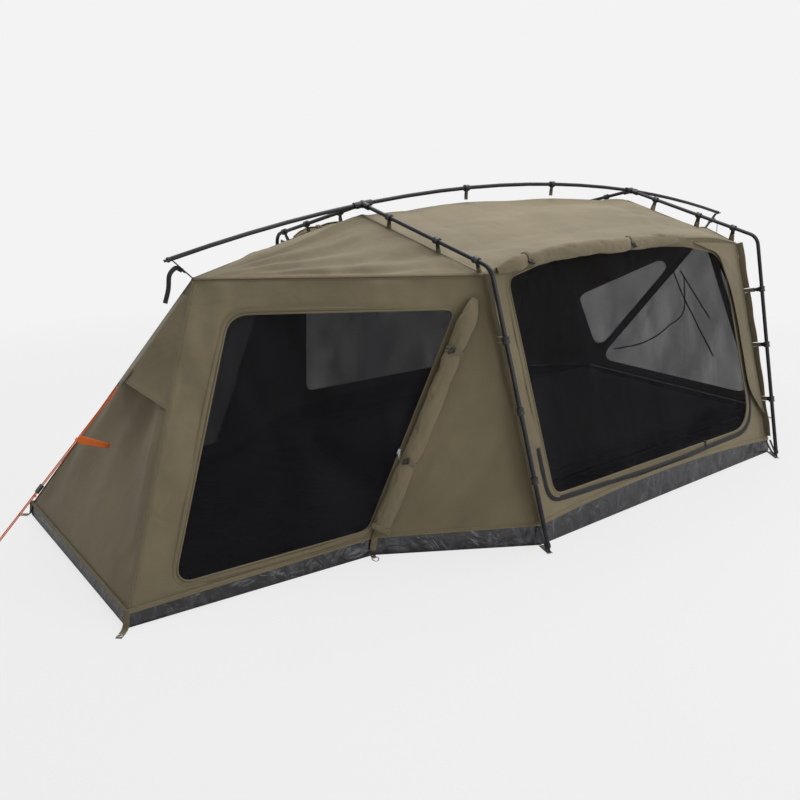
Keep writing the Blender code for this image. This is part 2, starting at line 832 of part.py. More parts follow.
def canvas_sheets():
    """Every canvas panel as a thin sheet, by name."""
    sheets = {}
    for name, side in SIDES.items():
        loop = seam_loop(["front_peak", "front_eave", "waist", "nose"], side)
        crease = seam("front_eave", "waist", side)
        wing = grid_faces(crease, seam("front_eave", "front_shoulder", side), 4)
        sheets["wall_front_" + name] = framed_faces(loop, *door_outline(side)) + wing
        loop = seam_loop(["front_eave", "rear_eave", "rear_shoulder", "front_shoulder"], side)
        sheets["wall_main_" + name] = framed_faces(loop, *window_outline(side))
        loop = seam_loop(["rear_eave", "rear_peak", "tail"], side)
        crease = seam("rear_eave", "tail", side)
        wing = grid_faces(crease, seam("rear_eave", "rear_shoulder", side), 4)
        sheets["wall_rear_" + name] = framed_faces(loop, *rear_side_outline(side)) + wing
    edges = [seam("rear_peak", "tail", NEAR), end_line("tail"), seam("tail", "rear_peak", FAR)]
    loop = [point for edge in edges for point in edge[:-1]]
    sheets["end_rear"] = framed_faces(loop, *end_window_outline())
    peak_to_nose = [seam("front_peak", "nose", side) for side in (NEAR, FAR)]
    sheets["end_front"] = grid_faces(*peak_to_nose, END_STEPS)
    sheets["roof_front"] = roof_faces((("front_peak", "front_ridge"), ("front_peak", "front_eave")))
    sheets["roof_main"] = roof_faces((("front_ridge", "rear_ridge"), ("front_eave", "rear_eave")))
    sheets["roof_rear"] = roof_faces((("rear_peak", "rear_ridge"), ("rear_peak", "rear_eave")))
    return sheets


def mesh_sheets():
    """Every insect mesh panel as a thin sheet, by name."""
    sheets = {}
    for name, side in SIDES.items():
        sheets["door_mesh_" + name] = fan_faces(*door_outline(side), 2)
        sheets["window_mesh_" + name] = fan_faces(*window_outline(side), 2)
        sheets["rear_mesh_" + name] = fan_faces(*rear_side_outline(side), 2)
    sheets["end_mesh"] = fan_faces(*end_window_outline(), 2)
    return sheets


def tub_tabs():
    """Each tab as its corner, its direction, its length and how far out its eyelet lies."""
    tabs = []
    for side in SIDES.values():
        for plan in (NOSE, TAIL):
            corner = Vector((plan[0], side * plan[1], 0.0))
            away = Vector((math.copysign(1.0, plan[0]), side, 0.0)).normalized()
            tabs.append((corner, away, CORNER_TAB_REACH, CORNER_TAB_REACH - TAB_WIDTH / 2))
        corner, away = waist_corner(side)
        tabs.append((corner, away, WAIST_TAB_REACH, None))
        for hoop, plan in (("front", FRONT_SHOULDER), ("rear", REAR_SHOULDER)):
            corner = Vector((plan[0], side * plan[1], 0.0))
            foot = hoop_point(hoop, HOOP_FOOT, 0.0, side)
            away = (foot - corner).normalized()
            pin = (foot - corner).length
            tabs.append((corner, away, pin + TAB_WIDTH / 2, pin))
    return tabs


def waist_corner(side):
    corner = Vector((WAIST[0], side * WAIST[1], 0.0))
    return corner, Vector((-WAIST_TAB_SLANT, side, 0.0)).normalized()


def d_ring_axis(side):
    """Middle of the straight bar of a waist D-ring, and the direction of the tab it hangs on."""
    corner, away = waist_corner(side)
    return corner + away * WAIST_TAB_REACH + UP * LOOP_R, away


def make_tub(normals):
    """The floor tub with its sewn webbing tabs and the loops of the two waist rings."""
    tub = cloth("floor_tub", tub_faces(), normals, TUB_T, SEAM_GAP, "pvc")
    tabs = bmesh.new()
    eyelets = bmesh.new()
    loops = bmesh.new()
    bores = bmesh.new()
    middle = UP * (TAB_LIFT + TAB_T / 2)
    for corner, away, reach, eyelet in tub_tabs():
        across = away.cross(UP)
        ends = [corner - away * TAB_ROOT + middle, corner + away * reach + middle]
        bar(tabs, ends, across, TAB_WIDTH, TAB_T)
        if eyelet:
            place = corner + away * eyelet
            cylinder(eyelets, place - UP * TAB_T, place + UP * (2 * TAB_T), EYELET_R)
    for side in SIDES.values():
        place, away = d_ring_axis(side)
        across = away.cross(UP)
        cylinder(loops, place - across * LOOP_LENGTH / 2, place + across * LOOP_LENGTH / 2, LOOP_R)
        cylinder(bores, place - across * LOOP_LENGTH, place + across * LOOP_LENGTH, LOOP_BORE_R)
    combine(tub, "tub_tabs", tabs, "UNION")
    combine(tub, "tub_loops", loops, "UNION")
    combine(tub, "tub_eyelets", eyelets, "DIFFERENCE")
    combine(tub, "tub_loop_bores", bores, "DIFFERENCE")


def make_cloth():
    """All canvas, mesh and the tub, mitred together."""
    canvas = canvas_sheets()
    mesh = mesh_sheets()
    normals = shared_normals({**canvas, **mesh, "tub": tub_faces()})
    for name, faces in canvas.items():
        cloth(name, faces, normals, CANVAS_T, SEAM_GAP, "canvas")
    for name, faces in mesh.items():
        gap = HINGE_GAP if name.startswith("door_mesh") else SEAM_GAP
        cloth(name, faces, normals, MESH_T, gap, "insect_mesh")
    make_tub(normals)
    return normals


# Frame of poles

HOOPS = {"front": (FRONT_HOOP_X, FRONT_HOOP_LEAN), "rear": (REAR_HOOP_X, REAR_HOOP_LEAN)}


def hoop_point(hoop, half_width, height, side):
    """A point in a hoop's plane, which leans along the tent."""
    foot_x, lean = HOOPS[hoop]
    return Vector((foot_x + lean * height, side * half_width, height))


def ridge_point(x):
    """A point on the flexed ridge pole, a parabola through its two tips."""
    middle = (RIDGE_TIP_FRONT[0] + RIDGE_TIP_REAR[0]) / 2
    tip = RIDGE_TIP_FRONT if x < middle else RIDGE_TIP_REAR
    share = (x - middle) / (tip[0] - middle)
    return Vector((x, 0.0, RIDGE_CREST - (RIDGE_CREST - tip[1]) * share * share))


def crown(hoop):
    """Where a hoop crosses the ridge pole."""
    foot_x, lean = HOOPS[hoop]
    point = ridge_point(foot_x)
    for _ in range(4):
        point = ridge_point(foot_x + lean * point.z)
    return point


def socket_directions(hoop):
    """Directions in which a hub's four sockets point: along the ridge, and to each elbow."""
    centre = crown(hoop)
    elbows = [hoop_point(hoop, HOOP_ELBOW, HOOP_ELBOW_HEIGHT, side) for side in SIDES.values()]
    ends = [ridge_point(centre.x - SOCKET_REACH), ridge_point(centre.x + SOCKET_REACH)] + elbows
    return [(end - centre).normalized() for end in ends]


def make_hub(hoop):
    """A moulded cross: a ball with four sockets."""
    centre = crown(hoop)
    bm = bmesh.new()
    bmesh.ops.create_icosphere(bm, subdivisions=2, radius=HUB_BALL_R, matrix=Matrix.Translation(centre))
    hub = finish("hub_" + hoop, bm, "black_plastic")
    bores = bmesh.new()
    bore_r = (POLE_R + FIT_GAP) / POLE_FACET
    for i, direction in enumerate(socket_directions(hoop)):
        sleeve = bmesh.new()
        start = centre + direction * (SLEEVE_START * (i + 1))
        cylinder(sleeve, start, centre + direction * SOCKET_REACH, HUB_R)
        combine(hub, "hub_%s_sleeve_%d" % (hoop, i), sleeve, "UNION")
        cylinder(bores, centre + direction * SOCKET_STOP, centre + direction * (SOCKET_REACH * 1.5), bore_r)
    combine(hub, "hub_%s_bores" % hoop, bores, "DIFFERENCE")


def open_tube(name, path):
    """A pole section, open at both ends."""
    bm = bmesh.new()
    frames = frames_along(path)
    outer = [circle_ring(f, POLE_R) for f in frames]
    inner = [circle_ring(f, POLE_BORE_R) for f in frames]
    loft(bm, outer + inner[::-1], closed=True)
    return finish(name, bm, "pole")


def clip_outline(point, toward, square, reach):
    """The hook of a clip round the pole, with its arm towards the canvas."""
    edge = math.asin(CLIP_ARM_T / 2 / CLIP_R)

    def polar(angle, radius):
        return point + toward * (math.cos(angle) * radius) + square * (math.sin(angle) * radius)

    steps = 4
    upper = [polar(edge + (CLIP_MOUTH_START - edge) * i / steps, CLIP_R) for i in range(steps + 1)]
    start = CLIP_MOUTH_END - 2 * math.pi
    lower = [polar(start + (-edge - start) * i / steps, CLIP_R) for i in range(steps + 1)]
    inner_steps = 8
    sweep = (CLIP_MOUTH_START - start) / inner_steps
    inner = [polar(CLIP_MOUTH_START - sweep * i, CLIP_BITE) for i in range(inner_steps + 1)]
    end = [point + toward * reach + square * (sign * CLIP_ARM_T / 2) for sign in (-1, 1)]
    return lower + end + upper + inner


def add_clip(bm, point, tangent, seat):
    """A clip on a pole at a point, whose square arm ends just above the sloping canvas at its seat."""
    place, normal = seat
    toward, square = square_to(tangent, place - point)
    slope = abs(normal.dot(square)) * CLIP_ARM_T / 2 + abs(normal.dot(tangent)) * CLIP_WIDTH / 2
    reach = (place - point).dot(toward) - CLIP_END_GAP - slope / abs(normal.dot(toward))
    extrude_outline(bm, clip_outline(point, toward, square, reach), tangent * CLIP_WIDTH)


def canvas_seat(start, end, share, side, normals):
    """The outer face of the canvas, and its normal, at a share of the way along a seam."""
    line = seam(start, end, side)
    place = share * (len(line) - 1)
    index = min(int(place), len(line) - 2)
    point = line[index].lerp(line[index + 1], place - index)
    normal = normals[key(line[index])].lerp(normals[key(line[index + 1])], place - index).normalized()
    return point + normal * (CANVAS_T / 2), normal


def make_ridge(normals):
    """The three sections of the ridge pole; the middle one carries two clips."""
    front = crown("front")
    rear = crown("rear")
    stop = SOCKET_STOP + FIT_GAP
    front_seats = [front + direction * stop for direction in socket_directions("front")[:2]]
    rear_seats = [rear + direction * stop for direction in socket_directions("rear")[:2]]
    front_reach = (front.x - SOCKET_REACH, front.x + SOCKET_REACH)
    rear_reach = (rear.x - SOCKET_REACH, rear.x + SOCKET_REACH)
    sections = {
        "ridge_front": ([], RIDGE_TIP_FRONT[0], front_reach[0], front_seats[:1], 5),
        "ridge_mid": (front_seats[1:], front_reach[1], rear_reach[0], rear_seats[:1], 9),
        "ridge_rear": (rear_seats[1:], rear_reach[1], RIDGE_TIP_REAR[0], [], 5),
    }
    for name, (start, low, high, end, steps) in sections.items():
        flexed = [ridge_point(low + (high - low) * i / steps) for i in range(steps + 1)]
        tube = open_tube(name, start + flexed + end)
        if name != "ridge_mid":
            continue
        clips = bmesh.new()
        for x in RIDGE_CLIP_PLACES:
            share = (x - FRONT_RIDGE[0]) / (REAR_RIDGE[0] - FRONT_RIDGE[0])
            seat = canvas_seat("front_ridge", "rear_ridge", share, NEAR, normals)
            ahead = ridge_point(x + POLE_TANGENT_STEP)
            behind = ridge_point(x - POLE_TANGENT_STEP)
            add_clip(clips, ridge_point(x), (ahead - behind).normalized(), seat)
        combine(tube, "ridge_clips", clips, "UNION")


def make_rafter(hoop, name, side, normals):
    """A bent upper section of a hoop, from the hub round the elbow, with three clips."""
    centre = crown(hoop)
    elbow = hoop_point(hoop, HOOP_ELBOW, HOOP_ELBOW_HEIGHT, side)
    foot = hoop_point(hoop, HOOP_FOOT, 0.0, side)
    start = centre + (elbow - centre).normalized() * (SOCKET_STOP + FIT_GAP)
    end = elbow.lerp(foot, 1 - LEG_TOP / HOOP_ELBOW_HEIGHT)
    tube = open_tube("rafter_%s_%s" % (hoop, name), fillet_path(start, elbow, end, ELBOW_RADIUS, 6))
    clips = bmesh.new()
    tangent = (elbow - centre).normalized()
    for share in RAFTER_CLIP_SHARES:
        seat = canvas_seat(hoop + "_ridge", hoop + "_eave", share, side, normals)
        point = centre.lerp(elbow, abs(seat[0].y) / HOOP_ELBOW)
        add_clip(clips, point, tangent, seat)
    combine(tube, "rafter_clips_%s_%s" % (hoop, name), clips, "UNION")


def leg_axis(hoop, side):
    """The point where a leg meets its rafter, and the leg's direction down to the ground."""
    elbow = hoop_point(hoop, HOOP_ELBOW, HOOP_ELBOW_HEIGHT, side)
    foot = hoop_point(hoop, HOOP_FOOT, 0.0, side)
    down = (foot - elbow).normalized()
    tilt = math.sqrt(1 - down.z * down.z)
    return elbow.lerp(foot, 1 - LEG_TOP / HOOP_ELBOW_HEIGHT), down, foot - down * (FOOT_PIN_R * tilt)


def make_leg(hoop, name, side, normals):
    """A straight lower section of a hoop: spigot, tube, foot collar and foot pin, and clips."""
    top, down, tip = leg_axis(hoop, side)
    length = (tip - top).length
    spigot_r = POLE_BORE_R * POLE_FACET - FIT_GAP
    collar_end = length - FOOT_PIN_LENGTH
    outer = [
        (-SPIGOT_LENGTH, spigot_r),
        (FIT_GAP, spigot_r),
        (FIT_GAP, POLE_R),
        (collar_end - FOOT_COLLAR_LENGTH, POLE_R),
        (collar_end - FOOT_COLLAR_LENGTH, FOOT_COLLAR_R),
        (collar_end, FOOT_COLLAR_R),
        (collar_end, FOOT_PIN_R),
        (length, FOOT_PIN_R),
    ]
    side_dir, upper_dir = square_to(down, ACROSS)
    bm = bmesh.new()
    rings = [circle_ring((top + down * s, side_dir, upper_dir), r) for s, r in outer]
    bore_r = spigot_r - SPIGOT_WALL
    bore = []
    for s in (collar_end - FOOT_COLLAR_LENGTH, -SPIGOT_LENGTH):
        bore.append(circle_ring((top + down * s, side_dir, upper_dir), bore_r))
    loft(bm, bore + rings)
    leg = finish("leg_%s_%s" % (hoop, name), bm, "pole")
    clips = bmesh.new()
    for height in LEG_CLIP_HEIGHTS:
        eave = corner_points(side)[hoop + "_eave"]
        shoulder = corner_points(side)[hoop + "_shoulder"]
        share = (eave.z - height) / (eave.z - shoulder.z)
        seat = canvas_seat(hoop + "_eave", hoop + "_shoulder", share, side, normals)
        point = top + down * (seat[0] - top).dot(down)
        add_clip(clips, point, down, seat)
    combine(leg, "leg_clips_%s_%s" % (hoop, name), clips, "UNION")


def make_cap(end, tip, inner_point):
    """The end cap of the ridge pole: a plug, a flange and a neck with a cross pin."""
    out = (tip - inner_point).normalized()
    plug_r = POLE_BORE_R * POLE_FACET - FIT_GAP
    profile = [
        (-CAP_PLUG_LENGTH, plug_r),
        (FIT_GAP, plug_r),
        (FIT_GAP, CAP_R),
        (CAP_LENGTH, CAP_R),
        (CAP_LENGTH, CAP_NECK_R),
        (CAP_LENGTH + CAP_NECK_LENGTH, CAP_NECK_R),
    ]
    side_dir, upper_dir = square_to(out, UP)
    bm = bmesh.new()
    loft(bm, [circle_ring((tip + out * s, side_dir, upper_dir), r) for s, r in profile])
    cap = finish("ridge_cap_" + end, bm, "black_plastic")
    pin = bmesh.new()
    middle = tip + out * (CAP_LENGTH + CAP_NECK_LENGTH / 2)
    cylinder(pin, middle - ACROSS * CAP_PIN_REACH, middle + ACROSS * CAP_PIN_REACH, CAP_PIN_R, 8)
    combine(cap, "cap_pin_" + end, pin, "UNION")
    return out


def make_peak_strap(end, tip, out, peak, normals):
    """A strap from under the pole's tip down to the canvas peak, with its buckle and loose end."""
    down_side, _ = square_to(out, -UP)
    top = tip - out * PEAK_STRAP_INSET + down_side * (POLE_R + FIT_GAP + PEAK_STRAP_T / 2)
    seat = peak + normals[key(peak)] * (CANVAS_T / 2 + CLIP_END_GAP)
    bm = bmesh.new()
    bar(bm, [top, seat], ACROSS, PEAK_STRAP_WIDTH, PEAK_STRAP_T)
    strap = finish("peak_strap_" + end, bm, "webbing")
    along = (seat - top).normalized()
    middle = top.lerp(seat, 0.5)
    buckle = bmesh.new()
    half = along * (BUCKLE_SIZE[0] / 2)
    bar(buckle, [middle - half, middle + half], ACROSS, BUCKLE_SIZE[1], BUCKLE_SIZE[2])
    combine(strap, "buckle_" + end, buckle, "UNION")
    away = Vector((out.x, 0.0, 0.0)).normalized()
    tail = bmesh.new()
    knee = middle + away * STRAP_TAIL_OUT + UP * STRAP_TAIL_RISE
    hang = knee + away * STRAP_TAIL_KNEE[0] - UP * STRAP_TAIL_KNEE[1]
    foot = hang + away * STRAP_TAIL_SLANT - UP * STRAP_TAIL_DROP
    bar(tail, [middle, knee, hang, foot], ACROSS, STRAP_TAIL_WIDTH, PEAK_STRAP_T)
    combine(strap, "strap_tail_" + end, tail, "UNION")


def make_foot_ring(hoop, name, side):
    """A steel ring round a foot pin, on the eyelet of its tab."""
    _, down, tip = leg_axis(hoop, side)
    height = TAB_LIFT + TAB_T + FIT_GAP + FOOT_RING_WIRE_R
    centre = tip - down * ((height - tip.z) / -down.z)
    centre.z = height
    points = []
    for i in range(RING_STEPS):
        angle = 2 * math.pi * i / RING_STEPS
        points.append(centre + Vector((math.cos(angle), math.sin(angle), 0.0)) * FOOT_RING_R)
    bm = bmesh.new()
    closed_tube(bm, points, UP, FOOT_RING_WIRE_R, 6)
    finish("foot_ring_%s_%s" % (hoop, name), bm, "zinc")


def make_d_ring(name, side):
    """A pegging ring hinged in its webbing loop, lying on the ground."""
    place, away = d_ring_axis(side)
    across = away.cross(UP)
    fall = (LOOP_R - D_RING_WIRE_R - FIT_GAP) / D_RING_REACH
    lying = (away - UP * fall).normalized()
    half = D_RING_WIDTH / 2
    points = [place - across * (half / 3), place + across * (half / 3)]
    for i in range(9):
        angle = math.pi * i / 8
        outer = lying * (math.sin(angle) * (D_RING_REACH - D_RING_WIRE_R))
        points.append(place + across * (math.cos(angle) * half) + outer)
    bm = bmesh.new()
    closed_tube(bm, points, across.cross(lying).normalized(), D_RING_WIRE_R, 8)
    finish("peg_ring_" + name, bm, "zinc")


# Rolls, mattress, visor

def make_roll(name, path, outs, width, depth, ties, taper):
    """A roll of canvas along a path, drawn in by its ties and narrowing over its last stretch."""
    bm = bmesh.new()
    rings = []
    length = (path[-1] - path[0]).length
    last = len(path) - 1
    for i, point in enumerate(path):
        tangent = (path[min(i + 1, last)] - path[max(i - 1, 0)]).normalized()
        out, square = square_to(tangent, outs[i])
        share = i / last
        pinch = sum(math.exp(-(((share - tie) * length / TIE_SPREAD) ** 2)) for tie in ties)
        size = 1 - TIE_PINCH * pinch
        to_end = min(share, 1 - share) * length
        if to_end < taper:
            size *= ROLL_TIP_SIZE + (1 - ROLL_TIP_SIZE) * math.sin(math.pi / 2 * to_end / taper)
        if i in (0, last):
            size *= ROLL_END_SIZE
        centre = point - out * (depth / 2 * (1 - size))
        frame = (centre, square, out)
        radii = (width / 2 * size, depth / 2 * size)
        rings.append(ellipse_ring(frame, *radii, ROLL_SIDES, ROLL_SQUARENESS))
    loft(bm, rings)
    finish(name, bm, "canvas", 60)


def make_door_roll(name, side):
    """The rolled canvas door, lying along the crease from the eave to the waist."""
    crease = seam("front_eave", "waist", side)
    door = door_panel(side)
    shoulder = corner_points(side)["front_shoulder"]
    steps = 20
    path = []
    outs = []
    for i in range(steps + 1):
        share = DOOR_ROLL_START + (DOOR_ROLL_END - DOOR_ROLL_START) * i / steps
        point = crease[0].lerp(crease[-1], share)
        door_out = door.normal(Vector((door.width, door.height * (1 - share))), side)
        wing_out = face_normal([crease[0], crease[-1], shoulder])
        if wing_out.y * side < 0:
            wing_out = -wing_out
        out = (door_out + wing_out).normalized()
        to_wing = (shoulder - point).normalized()
        lift = DOOR_ROLL_DEPTH / 2 + CANVAS_T / 2 + FIT_GAP - DOOR_ROLL_SETTLE
        lift += valley_lift(door_out, wing_out, to_wing)
        outs.append(out)
        path.append(point + out * lift + (to_wing - out * to_wing.dot(out)).normalized() * DOOR_ROLL_SHIFT)
    make_roll("door_roll_" + name, path, outs, DOOR_ROLL_WIDTH, DOOR_ROLL_DEPTH, DOOR_ROLL_TIES, 0.0)


def valley_lift(door_out, wing_out, to_wing):
    """Extra height that a roll needs where it bridges the crease between door and wing."""
    slope = math.tan(door_out.angle(wing_out) / 2)
    hollow = door_out.dot(to_wing) > 0
    return (DOOR_ROLL_SHIFT + (DOOR_ROLL_DEPTH / 2 if hollow else 0.0)) * slope + SEAM_GAP


def make_window_roll(name, side):
    """The rolled window cover under the eave."""
    eave = seam("front_eave", "rear_eave", side)
    panel = window_panel(side)
    steps = 26
    path = []
    outs = []
    for i in range(steps + 1):
        share = WINDOW_ROLL_START + (WINDOW_ROLL_END - WINDOW_ROLL_START) * i / steps
        place = share * (len(eave) - 1)
        index = min(int(place), len(eave) - 2)
        point = eave[index].lerp(eave[index + 1], place - index)
        out = panel.normal(Vector((panel.width * share, panel.height)), side)
        outs.append(out)
        lift = WINDOW_ROLL_DEPTH / 2 + CANVAS_T / 2 + WINDOW_ROLL_LIFT
        path.append(point + out * lift - UP * WINDOW_ROLL_DROP)
    sizes = WINDOW_ROLL_WIDTH, WINDOW_ROLL_DEPTH, WINDOW_ROLL_TIES, WINDOW_ROLL_TAPER
    make_roll("window_roll_" + name, path, outs, *sizes)


def rounded_plan(length, width, radius, steps):
    """A rounded rectangle round the origin, in plan."""
    points = []
    for turn, (sx, sy) in enumerate(((1, 1), (-1, 1), (-1, -1), (1, -1))):
        for i in range(steps + 1):
            angle = math.pi / 2 * (turn + i / steps)
            x = sx * (length / 2 - radius) + radius * math.cos(angle)
            y = sy * (width / 2 - radius) + radius * math.sin(angle)
            points.append(Vector((x, y, 0.0)))
    return points


def make_mattress():
    """The foam mattress, with sides that draw in at the middle and a crowned top."""
    bottom = TUB_T + FIT_GAP
    middle = Vector((MATTRESS_HEAD + MATTRESS_LENGTH / 2, 0.0, 0.0))
    levels = [
        (MATTRESS_EDGE, 0.0),
        (0.0, MATTRESS_EDGE),
        (MATTRESS_SIDE_PINCH, MATTRESS_T / 2),
        (0.0, MATTRESS_T - MATTRESS_EDGE),
        (MATTRESS_EDGE, MATTRESS_T),
        (MATTRESS_WIDTH * 0.1, MATTRESS_T + MATTRESS_CROWN * 0.6),
        (MATTRESS_WIDTH * 0.3, MATTRESS_T + MATTRESS_CROWN),
    ]
    rings = []
    for inset, height in levels:
        size = (MATTRESS_LENGTH - 2 * inset, MATTRESS_WIDTH - 2 * inset)
        plan = rounded_plan(*size, MATTRESS_CORNER, 5)
        rings.append([p + middle + UP * (bottom + height) for p in plan])
    bm = bmesh.new()
    loft(bm, rings)
    finish("mattress", bm, "mattress_cover")


def rope_line():
    """The guy rope's line: where it turns at the visor, its direction down, and where at the peg."""
    tip = Vector((VISOR_TIP[0], 0.0, VISOR_TIP[1]))
    peg = Vector((PEG_X, 0.0, PEG_ROPE_HEIGHT))
    down = (peg - tip).normalized()
    return tip + down * VISOR_TAB_REACH - down * VISOR_BAR / 2, down, peg


def make_visor():
    """The flap over the front end wall: sewn along both seams and pulled out in the middle."""
    rows = 6
    near = corner_points(NEAR)
    normal = outward([near["front_peak"], near["nose"], corner_points(FAR)["nose"]])
    lift = normal * (CANVAS_T + FIT_GAP + SEAM_GAP)
    edges = {}
    for name, side in SIDES.items():
        p = corner_points(side)
        line = []
        for i in range(rows + 1):
            share = VISOR_START + (VISOR_SEWN_TO - VISOR_START) * i / rows
            line.append(p["front_peak"].lerp(p["nose"], share) + lift)
        edges[name] = line
    top = (edges["near"][0] + edges["far"][0]) / 2
    tip = Vector((VISOR_TIP[0], 0.0, VISOR_TIP[1]))
    ridge = [top.lerp(tip, i / rows) for i in range(rows + 1)]
    faces = grid_faces(edges["near"], ridge, 4) + grid_faces(ridge, edges["far"], 4)
    normals = shared_normals({"visor": faces})
    visor = cloth("visor", faces, normals, CANVAS_T, 0.0, "canvas")
    bar_centre, down, _ = rope_line()
    tab = bmesh.new()
    out_normal = down.cross(ACROSS).normalized()
    tab_ends = [tip - down * VISOR_TAB_ROOT, tip + down * VISOR_TAB_REACH]
    bar(tab, tab_ends, out_normal, VISOR_TAB_WIDTH, VISOR_TAB_T)
    combine(visor, "visor_tab", tab, "UNION")
    eye = bmesh.new()
    middle = bar_centre - down * (VISOR_BAR / 2 + VISOR_EYE_R)
    cylinder(eye, middle - ACROSS * VISOR_TAB_WIDTH, middle + ACROSS * VISOR_TAB_WIDTH, VISOR_EYE_R)
    combine(visor, "visor_eye", eye, "DIFFERENCE")


# Guy rope

STRAND_OFFSET = PEG_R / POLE_FACET + ROPE_R + FIT_GAP


def make_rope():
    """The doubled guy rope: from its knot down to the peg, back up, and round the visor's eye."""
    top, down, peg = rope_line()
    points = [top + down * (ROPE_KNOT_DISTANCE + ROPE_END_GAP) - ACROSS * STRAND_OFFSET]
    points.append(peg - ACROSS * STRAND_OFFSET)
    for i in range(1, 8):
        angle = math.pi * i / 8
        points.append(peg + (down * math.sin(angle) - ACROSS * math.cos(angle)) * STRAND_OFFSET)
    points.append(peg + ACROSS * STRAND_OFFSET)
    points.append(top + ACROSS * STRAND_OFFSET)
    for i in range(1, 8):
        angle = math.pi * i / 8
        points.append(top + (ACROSS * math.cos(angle) - down * math.sin(angle)) * STRAND_OFFSET)
    points.append(top - ACROSS * STRAND_OFFSET)
    points.append(top + down * ROPE_KNOT_DISTANCE - ACROSS * STRAND_OFFSET)
    curve = bpy.data.curves.new("guy_rope", "CURVE")
    curve.dimensions = "3D"
    curve.bevel_depth = ROPE_R
    curve.bevel_resolution = 2
    curve.use_fill_caps = True
    spline = curve.splines.new("POLY")
    spline.points.add(len(points) - 1)
    for spline_point, point in zip(spline.points, points):
        spline_point.co = (*point, 1.0)
    rope = bpy.data.objects.new("guy_rope", curve)
    bpy.context.scene.collection.objects.link(rope)
    curve.materials.append(make_material("guy_rope", "rope"))


def strand_block(name, place, size, material):
    """A block with a bore for each of the two strands of the guy rope."""
    top, down, _ = rope_line()
    centre = top + down * place
    length, width, thickness = size
    bm = bmesh.new()
    bar(bm, [centre - down * length / 2, centre + down * length / 2], ACROSS, width, thickness)
    block = finish(name, bm, material)
    bores = bmesh.new()
    for side in SIDES.values():
        middle = centre + ACROSS * (side * STRAND_OFFSET)
        cylinder(bores, middle - down * length, middle + down * length, (ROPE_R + FIT_GAP) / POLE_FACET)
    return block, bores, centre, down


def make_guy():
    make_rope()
    block, bores, _, _ = strand_block("guy_tensioner", TENSIONER_PLACE, TENSIONER_SIZE, "black_plastic")
    combine(block, "tensioner_bores", bores, "DIFFERENCE")

    flag, bores, centre, down = strand_block("guy_flag", FLAG_PLACE, FLAG_SLEEVE_SIZE, "flag")
    ribbon = bmesh.new()
    away = Vector((math.cos(FLAG_DROOP), 0.0, -math.sin(FLAG_DROOP)))
    width_dir = away.cross(ACROSS).normalized()
    rings = []
    for share, width in ((0.0, FLAG_NECK_WIDTH), (0.12, FLAG_ROOT_WIDTH), (1.0, FLAG_END_WIDTH)):
        point = centre + away * (FLAG_LENGTH * share)
        ring = []
        for a, b in ((-0.5, -0.5), (0.5, -0.5), (0.5, 0.5), (-0.5, 0.5)):
            ring.append(point + width_dir * (a * width) + ACROSS * (b * FLAG_T))
        rings.append(ring)
    loft(ribbon, rings)
    combine(flag, "flag_ribbon", ribbon, "UNION")
    combine(flag, "flag_bores", bores, "DIFFERENCE")

    _, down, place = rope_line()
    lean = down.cross(ACROSS).normalized()
    if lean.z < 0:
        lean = -lean
    base = place - lean * ((place.z - PEG_R * abs(lean.x)) / lean.z)
    shaft_top = base + lean * PEG_SHAFT
    centre = shaft_top + down * PEG_HOOK_R
    path = [base]
    for i in range(9):
        angle = PEG_HOOK_TURN * i / 8
        path.append(centre + (down * -math.cos(angle) + lean * math.sin(angle)) * PEG_HOOK_R)
    bm = bmesh.new()
    loft(bm, [circle_ring(f, PEG_R) for f in frames_along(path)])
    finish("guy_peg", bm, "zinc")


# Zips

def zip_place(panel, start, end, share, side):
    """A place on a straight zip: its point, direction, outward normal and inward direction."""
    flat = start.lerp(end, share)
    step = (end - start).normalized() * TANGENT_STEP
    along = (panel.place(flat + step) - panel.place(flat - step)).normalized()
    normal = panel.normal(flat, side)
    middle = panel.place(sum(panel.corners, Vector((0.0, 0.0))) / len(panel.corners))
    point = panel.place(flat)
    inward, _ = square_to(along, middle - point)
    inward = (inward - normal * inward.dot(normal)).normalized()
    return point, along, normal, inward


def make_slider(kind, name, spot):
    """A zip slider on the outside of the cloth, and its pull, which hangs from its middle."""
    point, along, normal, inward = spot
    centre = point + normal * (CANVAS_T / 2 + ZIP_GAP + SLIDER_T / 2) + inward * SLIDER_SHIFT
    bm = bmesh.new()
    half = along * (SLIDER_LENGTH / 2)
    bar(bm, [centre - half, centre + half], inward, SLIDER_WIDTH, SLIDER_T)
    bmesh.ops.bevel(bm, geom=bm.edges[:], offset=SLIDER_BEVEL, segments=1, affect="EDGES")
    finish("%s_slider_%s" % (kind, name), bm, "zinc")

    hang = (normal * normal.z - UP).normalized()
    across = hang.cross(normal).normalized()
    pivot = centre + normal * (SLIDER_T / 2 + PULL_PIVOT_GAP + PULL_T / 2)
    outline = []
    for end, start_angle in ((pivot, 180), (pivot + hang * (PULL_LENGTH - PULL_WIDTH), 0)):
        radius = (PULL_T + PULL_PIVOT_GAP) / 2 if start_angle == 180 else PULL_WIDTH / 2
        for i in range(7):
            angle = math.radians(start_angle + 180 * i / 6)
            sideways = across * (math.cos(angle) * PULL_WIDTH / 2)
            outline.append(end + sideways + hang * (math.sin(angle) * radius))
    bm = bmesh.new()
    extrude_outline(bm, outline, normal * PULL_T)
    finish("%s_pull_%s" % (kind, name), bm, "zinc")


def make_zips():
    for name, side in SIDES.items():
        panel = door_panel(side)
        corners = door_corners(panel)
        make_slider("door", name, zip_place(panel, corners[1], corners[2], DOOR_SLIDER_PLACE, side))
        panel = window_panel(side)
        corners = window_corners(panel)
        make_slider("window", name, zip_place(panel, corners[3], corners[2], WINDOW_SLIDER_PLACE, side))


